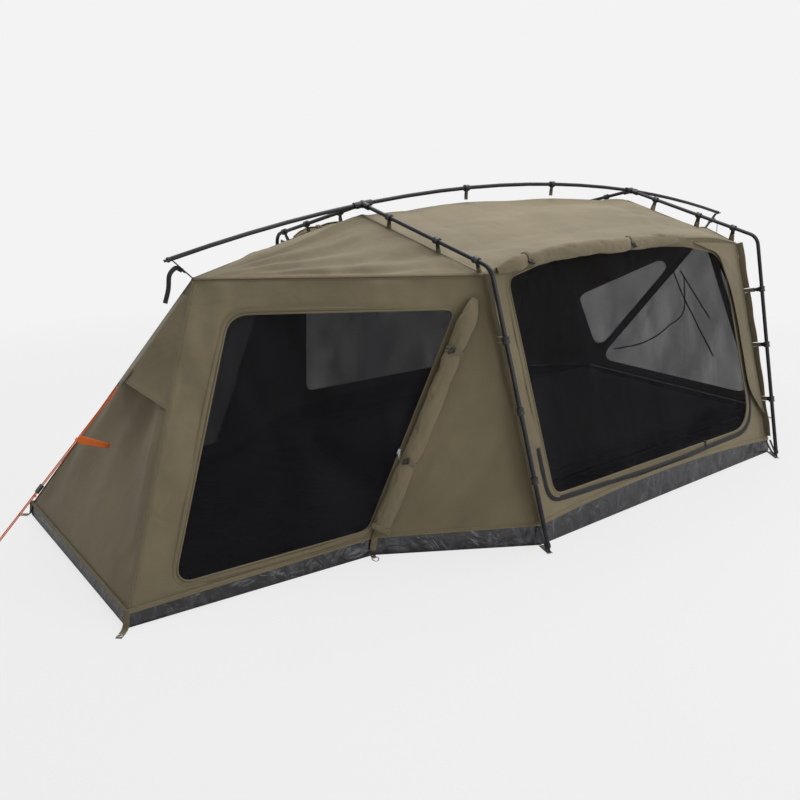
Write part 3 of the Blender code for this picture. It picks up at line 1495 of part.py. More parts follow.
def make_frame(normals):
    make_ridge(normals)
    for hoop in HOOPS:
        make_hub(hoop)
        for name, side in SIDES.items():
            make_rafter(hoop, name, side, normals)
            make_leg(hoop, name, side, normals)
            make_foot_ring(hoop, name, side)
    for end, tip_x, inner_x in (
        ("front", RIDGE_TIP_FRONT[0], RIDGE_TIP_FRONT[0] + POLE_TANGENT_STEP),
        ("rear", RIDGE_TIP_REAR[0], RIDGE_TIP_REAR[0] - POLE_TANGENT_STEP),
    ):
        tip = ridge_point(tip_x)
        out = make_cap(end, tip, ridge_point(inner_x))
        make_peak_strap(end, tip, out, corner_points(NEAR)[end + "_peak"], normals)


clear_scene()
cloth_normals = make_cloth()
make_frame(cloth_normals)
for side_name, side_sign in SIDES.items():
    make_d_ring(side_name, side_sign)
    make_door_roll(side_name, side_sign)
    make_window_roll(side_name, side_sign)
make_mattress()
make_visor()
make_guy()
make_zips()
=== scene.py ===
# %% [markdown]
# # A pitched swag tent
# A swag is a canvas bedroll with its own small tent. This lesson dresses the rigid frame that was
# modelled in CAD: the poles, hubs, rings and zip sliders keep their CAD shapes and get real finishes,
# and everything that is sewn is made here as cloth.

import json
import math

import bmesh
import bpy
import numpy as np
from mathutils import Matrix, Vector, bvhtree, kdtree, noise


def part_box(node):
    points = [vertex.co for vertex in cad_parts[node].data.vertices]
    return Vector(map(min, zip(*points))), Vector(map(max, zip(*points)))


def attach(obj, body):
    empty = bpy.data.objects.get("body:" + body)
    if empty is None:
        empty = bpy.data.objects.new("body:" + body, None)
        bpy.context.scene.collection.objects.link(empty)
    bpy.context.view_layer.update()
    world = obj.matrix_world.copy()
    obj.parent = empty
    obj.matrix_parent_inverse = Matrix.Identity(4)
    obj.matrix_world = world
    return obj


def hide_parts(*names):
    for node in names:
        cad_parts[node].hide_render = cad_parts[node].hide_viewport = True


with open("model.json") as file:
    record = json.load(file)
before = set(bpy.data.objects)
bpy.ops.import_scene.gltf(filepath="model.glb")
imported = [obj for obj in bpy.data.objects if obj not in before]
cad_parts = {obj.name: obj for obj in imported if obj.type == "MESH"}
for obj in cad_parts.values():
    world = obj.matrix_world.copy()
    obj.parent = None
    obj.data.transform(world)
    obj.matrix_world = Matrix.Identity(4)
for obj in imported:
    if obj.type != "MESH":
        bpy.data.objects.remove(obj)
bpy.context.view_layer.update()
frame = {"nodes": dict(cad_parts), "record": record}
nodes = frame["nodes"]
UP = Vector((0.0, 0.0, 1.0))
ACROSS = Vector((0.0, 1.0, 0.0))
SIDES = {"near": -1, "far": 1}

# %% [markdown]
# ## Camera
# The camera stands at the left front of the tent, a little above it, where the photograph was taken.
# Its place was worked out from the tent's own corners, so it is typed in and not guessed by eye.

# %% Place the camera
FOCAL_PIXELS = 829.2
FRAME_PIXELS = 800
forward = Vector((0.5873, 0.7544, -0.2930)).normalized()
camera_data = bpy.data.cameras.new("photo_camera")
camera_data.sensor_width = 36.0
camera_data.lens = FOCAL_PIXELS * camera_data.sensor_width / FRAME_PIXELS
camera_data.shift_x = -1.7 / FRAME_PIXELS
camera_data.shift_y = 2.9 / FRAME_PIXELS
camera = bpy.data.objects.new("photo_camera", camera_data)
bpy.context.scene.collection.objects.link(camera)
camera.location = (-2.020, -2.694, 1.355)
camera.rotation_euler = forward.to_track_quat("-Z", "Y").to_euler()
bpy.context.scene.camera = camera
print("camera lens", round(camera_data.lens, 2), "mm")

# %% [markdown]
# ## Colours and nodes
# Colours are written as the hex codes that a paint program shows. The renderer works in linear light,
# so one function turns the codes into linear numbers. A second small function adds a shader node and
# sets its sockets, which keeps each material to a few readable lines.

# %% Colour and node helpers


def colour(code):
    """An sRGB hex code as linear red, green, blue and alpha."""
    channels = [int(code[i:i + 2], 16) / 255.0 for i in (1, 3, 5)]
    linear = [c / 12.92 if c <= 0.04045 else ((c + 0.055) / 1.055) ** 2.4 for c in channels]
    return (*linear, 1.0)


def node(tree, kind, links=None, out=0, stops=(), **values):
    """Add a shader node with its settings, colour stops and links, and return one of its outputs."""
    made = tree.nodes.new("ShaderNode" + kind)
    for name, value in values.items():
        label = name.replace("_", " ")
        if label in made.inputs:
            made.inputs[label].default_value = value
        else:
            setattr(made, name, value)
    for index, (place, code) in enumerate(stops):
        elements = made.color_ramp.elements
        stop = elements.new(place) if 0 < index < len(stops) - 1 else elements[0 if index == 0 else -1]
        stop.position, stop.color = place, colour(code)
    for name, source in (links or {}).items():
        if isinstance(source, (int, float)):
            made.inputs[name].default_value = source
        elif source is not None:
            tree.links.new(source, made.inputs[name])
    return made.outputs[out]


def new_material(name, roughness, metallic=0.0, **sockets):
    """A Principled material with its even values set on the shader itself."""
    material = bpy.data.materials.new(name)
    material.use_nodes = True
    shader = material.node_tree.nodes["Principled BSDF"]
    shader.inputs["Roughness"].default_value = roughness
    shader.inputs["Metallic"].default_value = metallic
    for label, value in sockets.items():
        shader.inputs[label.replace("_", " ")].default_value = value
    return material, material.node_tree, shader


def plug(shader, **sources):
    """Link node outputs to the sockets of a shader."""
    for label, source in sources.items():
        shader.id_data.links.new(source, shader.inputs[label.replace("_", " ")])


# %% [markdown]
# ## Floor, backdrop and light
# The product stands on a pale sweep. The camera sees the sweep's own colour, while the tent is lit by
# a broad soft light from above and a weaker one from the front, so a colour renders about as written.

# %% Build the studio
BACKDROP = "#f3f3f3"
FLOOR_RADIUS = 14.0
world = bpy.data.worlds.new("studio")
bpy.context.scene.world = world
world.use_nodes = True
tree = world.node_tree
rays = node(tree, "LightPath").node.outputs
seen = node(tree, "Math", {0: rays["Is Camera Ray"], 1: rays["Is Glossy Ray"]}, operation="MAXIMUM")
seen = node(tree, "Math", {0: seen, 1: rays["Is Transmission Ray"]}, operation="MAXIMUM")
ambient = node(tree, "Background", Color=(1.0, 0.99, 0.96, 1.0), Strength=0.24)
shown = node(tree, "Background", Color=colour(BACKDROP), Strength=1.0)
mix = node(tree, "MixShader", {0: seen, 1: ambient, 2: shown})
tree.links.new(mix, tree.nodes["World Output"].inputs["Surface"])


def add_object(name, data):
    """A new object that holds this data, linked to the scene."""
    obj = bpy.data.objects.new(name, data)
    bpy.context.scene.collection.objects.link(obj)
    return obj


def soft_lamp(name, place, target, size, power):
    """A square area lamp that looks at a point."""
    data = bpy.data.lights.new(name, "AREA")
    data.energy = power
    data.size = size
    lamp = add_object(name, data)
    lamp.location = place
    lamp.rotation_euler = (Vector(target) - Vector(place)).to_track_quat("-Z", "Y").to_euler()


soft_lamp("overhead", (1.3, 0.6, 4.6), (0.4, 0.0, 0.0), 4.5, 205.0)
soft_lamp("side_fill", (1.2, -4.8, 1.9), (0.2, 0.0, 0.3), 3.0, 62.0)

bpy.ops.object.select_all(action="DESELECT")
bpy.ops.mesh.primitive_circle_add(vertices=96, radius=FLOOR_RADIUS, fill_type="NGON", location=(0.3, 0.0, -0.0006))
floor = bpy.context.object
floor.name = "studio_floor"
material, tree, shader = new_material("pale_studio_sweep", 0.85)
camera_ray = node(tree, "LightPath", out="Is Camera Ray")
place = node(tree, "TexCoord", out="Object")
reach = node(tree, "VectorMath", {0: place}, out="Value", operation="LENGTH")
fade = node(tree, "MapRange", {"Value": reach}, From_Min=2.4, From_Max=4.5, To_Min=0.84, To_Max=1.0)
seen = node(tree, "Math", {0: camera_ray, 1: fade}, operation="MULTIPLY")
shader.inputs["Base Color"].default_value = colour("#e9e9e9")
glow = node(tree, "Emission", Color=colour(BACKDROP), Strength=1.0)
mix = node(tree, "MixShader", {0: seen, 1: shader.outputs[0], 2: glow})
tree.links.new(mix, tree.nodes["Material Output"].inputs["Surface"])
floor.data.materials.append(material)
bpy.context.scene.view_settings.view_transform = "Standard"
print("studio ready")

# %% [markdown]
# ## The canvas
# The tent is polycotton canvas in a khaki brown. Close up it shows a plain weave; from a step away it
# shows uneven dye and soft creases. Each sewn panel carries a map in metres, so that the weave keeps
# its real size, and an attribute with each point's distance to the panel's edge, from which the
# material draws the turned hem and its two rows of stitches.

# %% Canvas material
# Yarns of real swag canvas lie about 0.5 mm apart. They are drawn at 1.1 mm, or they would not show.
THREAD_PITCH = 0.0011
# A wave texture of scale s repeats every 0.314 / s, so this turns a pitch into a scale.
WAVE_LENGTH = 0.314
# The hem is turned in by 13 mm and sewn down with two rows of 3.4 mm stitches.
HEM_WIDTH = 0.013
STITCH_ROWS = (0.0035, 0.0105)
HALF_STITCH = 0.0017


def woven(tree, uv, pitch):
    """The height of a plain weave with this pitch in metres, from 0 to 1."""
    scale = WAVE_LENGTH / (2 * pitch)
    across = node(tree, "TexWave", {"Vector": uv}, out="Fac", bands_direction="X", Scale=scale)
    along = node(tree, "TexWave", {"Vector": uv}, out="Fac", bands_direction="Y", Scale=scale)
    return node(tree, "Math", {0: across, 1: along}, operation="MULTIPLY")


def canvas_material(name, shades, hem_shade):
    """Khaki polycotton canvas, woven and proofed: dull, with dye that varies and stitched hems."""
    material, tree, shader = new_material(name, 0.88, Sheen_Weight=0.12, Sheen_Roughness=0.6)
    uv = node(tree, "UVMap")
    place = node(tree, "TexCoord", out="Object")
    wash = node(tree, "TexNoise", {"Vector": place}, Scale=2.2, Detail=4.0, Roughness=0.6)
    grain = node(tree, "TexNoise", {"Vector": uv}, Scale=420.0, Detail=2.0)
    wash = node(tree, "Math", {0: wash, 1: 0.65}, operation="MULTIPLY")
    tone = node(tree, "Math", {0: grain, 1: 0.35, 2: wash}, operation="MULTIPLY_ADD")
    shades = list(zip((0.34, 0.50, 0.66), shades))
    cloth = node(tree, "ValToRGB", {"Fac": tone}, stops=shades)
    # The hem is a step in colour and height, where the cloth lies double.
    edge = node(tree, "Attribute", out="Fac", attribute_name="edge_distance")
    hem = node(tree, "MapRange", {"Value": edge}, From_Min=HEM_WIDTH, From_Max=HEM_WIDTH + 0.0015,
               To_Min=1.0, To_Max=0.0)
    share = node(tree, "Math", {0: hem, 1: 0.45}, operation="MULTIPLY")
    cloth = node(tree, "MixRGB", {"Color1": cloth, "Fac": share}, Color2=colour(hem_shade))
    # Each row of stitches is a groove, darkened with painted shade, and the thread shows in dashes along it.
    rows = 0.0
    for row in STITCH_ROWS:
        off = node(tree, "Math", {0: edge, 1: row}, operation="SUBTRACT")
        off = node(tree, "Math", {0: off}, operation="ABSOLUTE")
        line = node(tree, "MapRange", {"Value": off}, From_Min=0.0005, From_Max=0.0011, To_Min=1.0, To_Max=0.0)
        rows = node(tree, "Math", {0: line, 1: rows}, operation="ADD")
    run = node(tree, "Attribute", out="Fac", attribute_name="edge_run")
    dash = node(tree, "Math", {0: run, 1: HALF_STITCH}, operation="PINGPONG")
    dash = node(tree, "Math", {0: dash, 1: 0.0004}, operation="GREATER_THAN")
    thread = node(tree, "Math", {0: rows, 1: dash}, operation="MULTIPLY")
    # 3f3826 paints shade into the stitch grooves; #a39778 is the thread's own lighter colour.
    for mask, strength, code in ((rows, 0.35, "#3f3826"), (thread, 0.5, "#a39778")):
        share = node(tree, "Math", {0: mask, 1: strength}, operation="MULTIPLY")
        cloth = node(tree, "MixRGB", {"Color1": cloth, "Fac": share}, Color2=colour(code))
    plug(shader, Base_Color=cloth)
    # Heights in metres: soft creases, puckers in the hem, its edge, the stitch grooves and the weave.
    crease = node(tree, "TexNoise", {"Vector": place}, Scale=7.0, Detail=3.0, Distortion=0.6)
    pucker = node(tree, "TexNoise", {"Vector": uv}, Scale=55.0, Detail=2.0)
    pucker = node(tree, "Math", {0: pucker, 1: hem}, operation="MULTIPLY")
    groove = node(tree, "Math", {0: rows, 1: -1.0}, operation="MULTIPLY")
    normal = None
    weave = woven(tree, uv, THREAD_PITCH)
    for height, distance, strength in ((crease, 0.013, 0.5), (pucker, 0.0016, 0.6), (hem, 0.0009, 0.8),
                                       (groove, 0.0007, 0.8), (weave, 0.00018, 0.6)):
        normal = node(tree, "Bump", {"Height": height, "Normal": normal}, Distance=distance, Strength=strength)
    plug(shader, Normal=normal)
    return material


canvas = canvas_material("khaki_polycotton_canvas", ["#6d634c", "#7a6f56", "#877b60"], "#75694f")
print("canvas material has", len(canvas.node_tree.nodes), "nodes")

# %% [markdown]
# ## The other sewn materials
# The doors and windows are black insect mesh, which lets part of the light through, so the shader is
# partly clear. The floor is shiny PVC-coated cloth. Straps are woven webbing with ribs along them, and
# the guy rope is braided, so their patterns follow the piece's own map.

# %% Insect mesh, PVC and webbing


def mesh_material(name, clear):
    """Black polyester insect mesh, knitted: dull threads, partly see-through, with soft upright folds."""
    material, tree, shader = new_material(name, 0.75, Alpha=1.0 - clear, Specular_IOR_Level=0.12)
    uv = node(tree, "UVMap")
    place = node(tree, "TexCoord", out="Object")
    # A real mesh has a hole each millimetre. Its threads are drawn 2.6 mm apart, as fine as can show.
    grid = woven(tree, uv, 0.0026)
    upright = node(tree, "Mapping", {"Vector": place}, Scale=(9.0, 9.0, 1.3))
    cloud = node(tree, "TexNoise", {"Vector": upright}, Scale=1.0, Detail=3.0, Distortion=0.5)
    tone = node(tree, "Math", {0: cloud, 1: 0.85}, operation="MULTIPLY")
    tone = node(tree, "Math", {0: grid, 1: 0.15, 2: tone}, operation="MULTIPLY_ADD")
    shade = node(tree, "ValToRGB", {"Fac": tone}, stops=[(0.3, "#0b0a0e"), (0.52, "#141318"), (0.68, "#24232a")])
    plug(shader, Base_Color=shade)
    dense = node(tree, "MapRange", {"Value": cloud}, From_Min=0.3, From_Max=0.7,
                 To_Min=0.93 - clear, To_Max=1.07 - clear)
    plug(shader, Alpha=dense)
    normal = node(tree, "Bump", {"Height": cloud}, Distance=0.012, Strength=0.4)
    normal = node(tree, "Bump", {"Height": grid, "Normal": normal}, Distance=0.0001, Strength=0.15)
    plug(shader, Normal=normal)
    return material


def pvc_material(name):
    """Dark grey PVC-coated cloth, calendered: glossy, with crinkles, streaks of painted gleam on them, and the print of
    its woven core.
    """
    material, tree, shader = new_material(name, 0.30, Specular_IOR_Level=0.6, Coat_Weight=0.25, Coat_Roughness=0.2)
    place = node(tree, "TexCoord", out="Object")
    uv = node(tree, "UVMap")
    upright = node(tree, "Mapping", {"Vector": place}, Scale=(17.0, 17.0, 5.0))
    painted_gleam_and_gloss = node(tree, "TexNoise", {"Vector": upright}, Scale=1.0, Detail=4.0, Roughness=0.6, Distortion=1.4)
    # The light and dark stops of this ramp are painted gleam and painted shade on the glossy crinkles; the same noise
    # also varies the roughness.
    shades = [(0.36, "#0e0e12"), (0.5, "#1d1d23"), (0.6, "#34343c"), (0.7, "#5b5b65")]
    plug(shader, Base_Color=node(tree, "ValToRGB", {"Fac": painted_gleam_and_gloss}, stops=shades))
    rough = node(tree, "MapRange", {"Value": painted_gleam_and_gloss}, From_Min=0.3, From_Max=0.7, To_Min=0.26, To_Max=0.44)
    plug(shader, Roughness=rough)
    crinkle = node(tree, "TexNoise", {"Vector": place}, Scale=13.0, Detail=2.0, Distortion=1.6)
    fold = node(tree, "TexNoise", {"Vector": place}, Scale=6.0, Detail=2.0, Distortion=0.8)
    normal = None
    weave = woven(tree, uv, 0.0012)
    for height, distance, strength in ((fold, 0.030, 0.8), (crinkle, 0.012, 0.8), (weave, 0.00006, 0.15)):
        normal = node(tree, "Bump", {"Height": height, "Normal": normal}, Distance=distance, Strength=strength)
    plug(shader, Normal=normal)
    return material


def webbing_material(name, dark, light):
    """Woven polyester strap: 1.6 mm ribs along it, crossed by a 0.9 mm weft, with fuzz that dulls it."""
    material, tree, shader = new_material(name, 0.8, Sheen_Weight=0.2, Sheen_Roughness=0.5)
    uv = node(tree, "UVMap")
    place = node(tree, "TexCoord", out="Object")
    ribs = node(tree, "TexWave", {"Vector": uv}, out="Fac", bands_direction="Y", Scale=WAVE_LENGTH / 0.0016)
    weft = node(tree, "TexWave", {"Vector": uv}, out="Fac", bands_direction="X",
                Scale=WAVE_LENGTH / 0.0009, Distortion=0.6)
    weft = node(tree, "Math", {0: weft, 1: 0.3}, operation="MULTIPLY")
    height = node(tree, "Math", {0: ribs, 1: 0.7, 2: weft}, operation="MULTIPLY_ADD")
    wear = node(tree, "TexNoise", {"Vector": place}, Scale=60.0, Detail=3.0)
    # The colour follows the rib heights, so the hollows between ribs carry painted shade; the wear noise adds tone that
    # varies at random.
    tone = node(tree, "Math", {0: height, 1: wear}, operation="ADD")
    tone = node(tree, "Math", {0: tone, 1: 0.5}, operation="MULTIPLY")
    shade = node(tree, "ValToRGB", {"Fac": tone}, stops=[(0.25, dark), (0.75, light)])
    plug(shader, Base_Color=shade, Normal=node(tree, "Bump", {"Height": height}, Distance=0.0004, Strength=0.8))
    return material


def braid_material(name, dark, light, pitch):
    """Braided polyester cord: strands that cross in diamonds along the piece's map."""
    material, tree, shader = new_material(name, 0.6, Sheen_Weight=0.1)
    uv = node(tree, "UVMap")
    height = 0.0
    for lean in (0.85, -0.85):
        turned = node(tree, "Mapping", {"Vector": uv}, Rotation=(0.0, 0.0, lean))
        strands = node(tree, "TexWave", {"Vector": turned}, out="Fac", bands_direction="X", Scale=WAVE_LENGTH / pitch)
        height = node(tree, "Math", {0: strands, 1: height}, operation="MAXIMUM")
    # The colour follows the strand heights, so the hollows between strands carry painted shade.
    shade = node(tree, "ValToRGB", {"Fac": height}, stops=[(0.25, dark), (0.8, light)])
    plug(shader, Base_Color=shade, Normal=node(tree, "Bump", {"Height": height}, Distance=0.0005, Strength=0.9))
    return material


# Light passes two faces of each mesh panel, so a panel lets through the square of this share.
insect_mesh = mesh_material("black_insect_mesh", 0.55)
door_mesh = mesh_material("black_door_mesh", 0.31)
pvc = pvc_material("dark_grey_coated_pvc")
black_webbing = webbing_material("black_polyester_webbing", "#0f0f11", "#26262a")
khaki_webbing = webbing_material("khaki_polyester_webbing", "#5d5440", "#85795c")
orange_cord = braid_material("orange_braided_cord", "#d2440f", "#ff7431", 0.0022)
flag_ribbon = webbing_material("orange_marker_ribbon", "#f2661d", "#ff8a3a")
zip_tape = webbing_material("black_zip_tape", "#0a0a0c", "#161618")
print("sewn materials ready")

# %% [markdown]
# ## Finishes of the rigid pieces
# The poles are drawn and anodised tube, which is satin with a faintly cloudy sheen. The hubs and caps
# are moulded nylon with a fine spark texture. Rings, pegs and sliders are zinc-plated steel, mottled
# and a little worn. These are set on the CAD nodes themselves, because their shapes are already right.

# %% Rigid materials on the CAD nodes


def rigid_material(name, dark, light, roughness, spread, metallic, scale):
    """A hard finish whose shade and gloss wander a little, over a fine tooth of about 1 mm."""
    material, tree, shader = new_material(name, roughness, metallic)
    place = node(tree, "TexCoord", out="Object")
    cloud = node(tree, "TexNoise", {"Vector": place}, Scale=scale, Detail=5.0, Roughness=0.7)
    shade = node(tree, "ValToRGB", {"Fac": cloud}, stops=[(0.3, dark), (0.7, light)])
    plug(shader, Base_Color=shade)
    rough = node(tree, "MapRange", {"Value": cloud}, From_Min=0.3, From_Max=0.7,
                 To_Min=roughness - spread, To_Max=roughness + spread)
    plug(shader, Roughness=rough)
    fine = node(tree, "TexNoise", {"Vector": place}, Scale=900.0, Detail=2.0)
    plug(shader, Normal=node(tree, "Bump", {"Height": fine}, Distance=0.00008, Strength=0.5))
    return material


anodised = rigid_material("dark_grey_anodised_tube", "#1a1a1f", "#2a2b31", 0.36, 0.07, 0.55, 14.0)
moulded = rigid_material("black_moulded_nylon", "#111214", "#1d1e21", 0.48, 0.08, 0.0, 220.0)
zinc = rigid_material("zinc_plated_steel", "#8e9094", "#c4c5c8", 0.34, 0.10, 1.0, 160.0)
black_zinc = rigid_material("black_lacquered_zinc", "#17171a", "#27272b", 0.40, 0.08, 0.4, 160.0)
FINISHES = {"pole": anodised, "black_plastic": moulded, "zinc": zinc}
BLACK_ZINC_NODES = {kind + side_name for kind in ("window_slider_", "window_pull_") for side_name in SIDES}
dressed = 0
for part in frame["record"]["subparts"]:
    finish = black_zinc if part["node"] in BLACK_ZINC_NODES else FINISHES.get(part["material_slot"])
    if finish is not None:
        mesh = nodes[part["node"]].data
        mesh.materials.clear()
        mesh.materials.append(finish)
        dressed += 1
print(dressed, "CAD nodes dressed")

# %% [markdown]
# ## Corners and seams of the tent
# The panels meet at a handful of corners. The numbers are the same as the CAD's, so every strap and
# strip of piping that follows a seam lies on the cloth.

# %% Corner table and seam lines
# Each corner is a distance along the tent, a half width and a height, in metres.
TUB_PLAN = {"nose": (-1.344, 0.503, 0.045), "waist": (-0.500, 0.576, 0.062), "front_shoulder": (0.020, 0.883, 0.072),
            "rear_shoulder": (1.570, 0.874, 0.060), "tail": (2.030, 0.576, 0.060)}
BODY = {"front_peak": (-0.833, 0.0, 0.927), "front_ridge": (-0.119, 0.0, 1.109), "rear_ridge": (1.525, 0.0, 1.104),
        "rear_peak": (2.240, 0.0, 0.930), "front_eave": (-0.080, 0.655, 0.950), "rear_eave": (1.545, 0.601, 0.941)}
# Seams that rise over the straight line between their corners, with how much and by which power.
RISES = {("front_ridge", "rear_ridge"): (0.045, 2), ("front_eave", "rear_eave"): (0.055, 4),
         ("rear_ridge", "rear_peak"): (-0.030, 2), ("front_shoulder", "rear_shoulder"): (0.040, 2)}
MIDDLE = 0.35
TUB_BATTER = 0.20


def corner(name, side):
    """A corner of the tent on one side; the tub's wall leans in towards its rim."""
    if name in BODY:
        x, y, z = BODY[name]
        return Vector((x, side * y, z))
    x, y, z = TUB_PLAN[name]
    inward = Vector((MIDDLE - x, -side * y, 0.0)).normalized()
    return Vector((x, side * y, z)) + inward * (z * TUB_BATTER)


def seam(start, end, side, steps=60):
    """Points along the seam between two corners."""
    rise, power = RISES.get((start, end), (0.0, 2))
    a, b = corner(start, side), corner(end, side)
    line = []
    for i in range(steps + 1):
        t = i / steps
        line.append(a.lerp(b, t) + UP * (rise * (1 - abs(2 * t - 1) ** power)))
    return line


def clamp(value, low=0.0, high=1.0):
    """The value, kept between two limits."""
    return min(max(value, low), high)


def inside_point(point):
    """A point in the middle of the tent's room, level with this one along the tent."""
    return Vector((clamp(point.x, -0.6, 1.8), 0.0, 0.35))


def plane_normal(a, b, c):
    """The normal of the plane through three points, on the outer side of the tent."""
    normal = (b - a).cross(c - a).normalized()
    middle = (a + b + c) / 3
    return normal if normal.dot(middle - inside_point(middle)) > 0 else -normal


def path_length(path):
    """The length of a path of points."""
    return sum((q - p).length for p, q in zip(path, path[1:]))


print("ridge seam", round(path_length(seam("front_ridge", "rear_ridge", 1)), 3), "m")

# %% [markdown]
# ## From CAD slab to cloth
# The CAD holds each panel as a thin stiff slab with few faces. A copy of its outer skin is the right
# starting form: its doubles are merged, its inner face and rim are deleted, it is divided finely, and
# then its points are moved as a sculptor would, to let the cloth sag, crease and pucker. The edge
# stays put, so neighbouring panels still meet at their seams.

# %% Skin, divide and relax a panel


def only(obj):
    """Select this object alone and make it active."""
    bpy.ops.object.select_all(action="DESELECT")
    obj.select_set(True)
    bpy.context.view_layer.objects.active = obj


def points_of(obj):
    """The object's vertices as an array."""
    flat = np.empty(len(obj.data.vertices) * 3)
    obj.data.vertices.foreach_get("co", flat)
    return flat.reshape(-1, 3)


def set_points(obj, points):
    """Write an array back to the object's vertices."""
    obj.data.vertices.foreach_set("co", points.ravel())
    obj.data.update()


def edit_all(obj):
    """Open the object for editing with all of its mesh selected."""
    only(obj)
    bpy.ops.object.mode_set(mode="EDIT")
    bpy.ops.mesh.select_all(action="SELECT")


# A face with an edge shorter than this belongs to a slab's rim.
SLAB_RIM = 0.0036


def outer_skin(name, source, cuts):
    """A divided copy of the outer face of a CAD slab."""
    obj = add_object(name, nodes[source].data.copy())
    obj.data.materials.clear()
    edit_all(obj)
    bpy.ops.mesh.remove_doubles(threshold=0.00003)
    bpy.ops.mesh.tris_convert_to_quads(face_threshold=0.6, shape_threshold=1.2)
    bm = bmesh.from_edit_mesh(obj.data)
    for face in bm.faces:
        middle = face.calc_center_median()
        thin = min(edge.calc_length() for edge in face.edges) < SLAB_RIM
        face.select_set(thin or face.normal.dot(middle - inside_point(middle)) < 0)
    bmesh.update_edit_mesh(obj.data)
    bpy.ops.mesh.delete(type="FACE")
    bpy.ops.mesh.select_all(action="SELECT")
    bpy.ops.mesh.subdivide(number_cuts=cuts, quadcorner="INNERVERT")
    bpy.ops.object.mode_set(mode="OBJECT")
    return obj


def neighbours(obj):
    """The edges of a mesh, a flag for each point on its border, and the border's edges, as arrays."""
    edges = np.array([e.vertices[:] for e in obj.data.edges])
    uses = np.zeros(len(obj.data.edges), int)
    index = {tuple(sorted(e)): i for i, e in enumerate(edges.tolist())}
    for face in obj.data.polygons:
        for pair in face.edge_keys:
            uses[index[tuple(sorted(pair))]] += 1
    border = np.zeros(len(obj.data.vertices), bool)
    border[edges[uses == 1].ravel()] = True
    return edges, border, edges[uses == 1]


def linked_points(rim):
    """For each point of a border, the points next to it along the border."""
    links = {}
    for a, b in rim.tolist():
        links.setdefault(a, []).append(b)
        links.setdefault(b, []).append(a)
    return links


def relax(obj, rounds, hold=None):
    """Even the cloth out, with its border (and any held points) kept in place."""
    edges, border, _ = neighbours(obj)
    points = points_of(obj)
    fixed = border if hold is None else border | hold
    count = np.bincount(edges.ravel(), minlength=len(points)).astype(float)[:, None]
    for _ in range(rounds):
        total = np.zeros_like(points)
        np.add.at(total, edges[:, 0], points[edges[:, 1]])
        np.add.at(total, edges[:, 1], points[edges[:, 0]])
        moved = points + 0.6 * (total / count - points)
        moved[fixed] = points[fixed]
        points = moved
    set_points(obj, points)


def store(mesh, label, values):
    """Store a number with each point of a mesh."""
    attribute = mesh.attributes.new(label, "FLOAT", "POINT")
    attribute.data.foreach_set("value", np.array(values, np.float32))


def edge_attributes(obj):
    """Store each point's distance to the panel's border, and how far along the border it lies."""
    _, _, rim = neighbours(obj)
    points = points_of(obj)
    links = linked_points(rim)
    run = {}
    for start in sorted(links):
        if start in run:
            continue
        run[start] = 0.0
        here = start
        while True:
            ahead = [n for n in links[here] if n not in run]
            if not ahead:
                break
            step = float(np.linalg.norm(points[ahead[0]] - points[here]))
            run[ahead[0]] = run[here] + step
            here = ahead[0]
    tree = kdtree.KDTree(len(links))
    for i in links:
        tree.insert(points[i], i)
    tree.balance()
    distance = np.zeros(len(points))
    along = np.zeros(len(points))
    for i, point in enumerate(points):
        _, nearest, best = tree.find(point)
        place = run[nearest]
        for other in links[nearest]:
            side = points[other] - points[nearest]
            length = float(np.linalg.norm(side))
            t = float(np.dot(point - points[nearest], side)) / (length * length)
            if t > 0:
                foot = points[nearest] + side * min(t, 1.0)
                span = float(np.linalg.norm(point - foot))
                if span <= best:
                    best = span
                    turn = run[other] - run[nearest]
                    place = run[nearest] + (turn if abs(turn) < 2 * length else 0.0) * min(t, 1.0)
        distance[i] = best
        along[i] = place
    store(obj.data, "edge_distance", distance)
    store(obj.data, "edge_run", along)
    return distance


def map_in_metres(obj, u_dir, v_dir):
    """A UV map whose two coordinates are metres along two directions."""
    points = points_of(obj)
    coords = np.stack([points @ np.array(u_dir), points @ np.array(v_dir)], axis=1)
    layer = obj.data.uv_layers.new(name="UVMap") if not obj.data.uv_layers else obj.data.uv_layers[0]
    loops = np.empty(len(obj.data.loops), int)
    obj.data.loops.foreach_get("vertex_index", loops)
    layer.data.foreach_set("uv", coords[loops].astype(np.float32).ravel())


print("panel helpers ready")

# %% [markdown]
# ## Folds
# Tight canvas doesn't hang in even waves. It sags a little between the poles, shows shallow creases
# that run with the pull, and puckers along its seams. Three ingredients give that: a slow noise that
# is stretched along the pull, single creases drawn from point to point, and a share that fades to
# nothing at the edge.

# %% Sag and crease a panel


def vertex_normals(obj):
    """Outward unit normals of the vertices, as an array."""
    flat = np.empty(len(obj.data.vertices) * 3)
    obj.data.vertices.foreach_get("normal", flat)
    return flat.reshape(-1, 3)


def stretched_noise(points, seed, along, size, stretch):
    """Smooth noise whose blobs are longer along one direction."""
    along = Vector(along).normalized()
    values = np.empty(len(points))
    for i, point in enumerate(points):
        p = Vector(point)
        p = p - along * (p.dot(along) * (1 - 1 / stretch))
        values[i] = noise.noise(p / size + Vector((seed, seed * 0.7, 0.0)))
    return values


def crease(points, start, end, width, height):
    """A soft ridge, or a valley where the height is negative, from one point to another."""
    a = np.array(start)
    d = np.array(end) - a
    length = float(np.linalg.norm(d))
    t = np.clip((points - a) @ d / length ** 2, 0, 1)
    gap = np.linalg.norm(points - (a + t[:, None] * d), axis=1)
    taper = np.sin(np.pi * np.clip(t * 0.86 + 0.07, 0, 1)) ** 0.7
    return height * taper * np.exp(-((gap / width) ** 2))


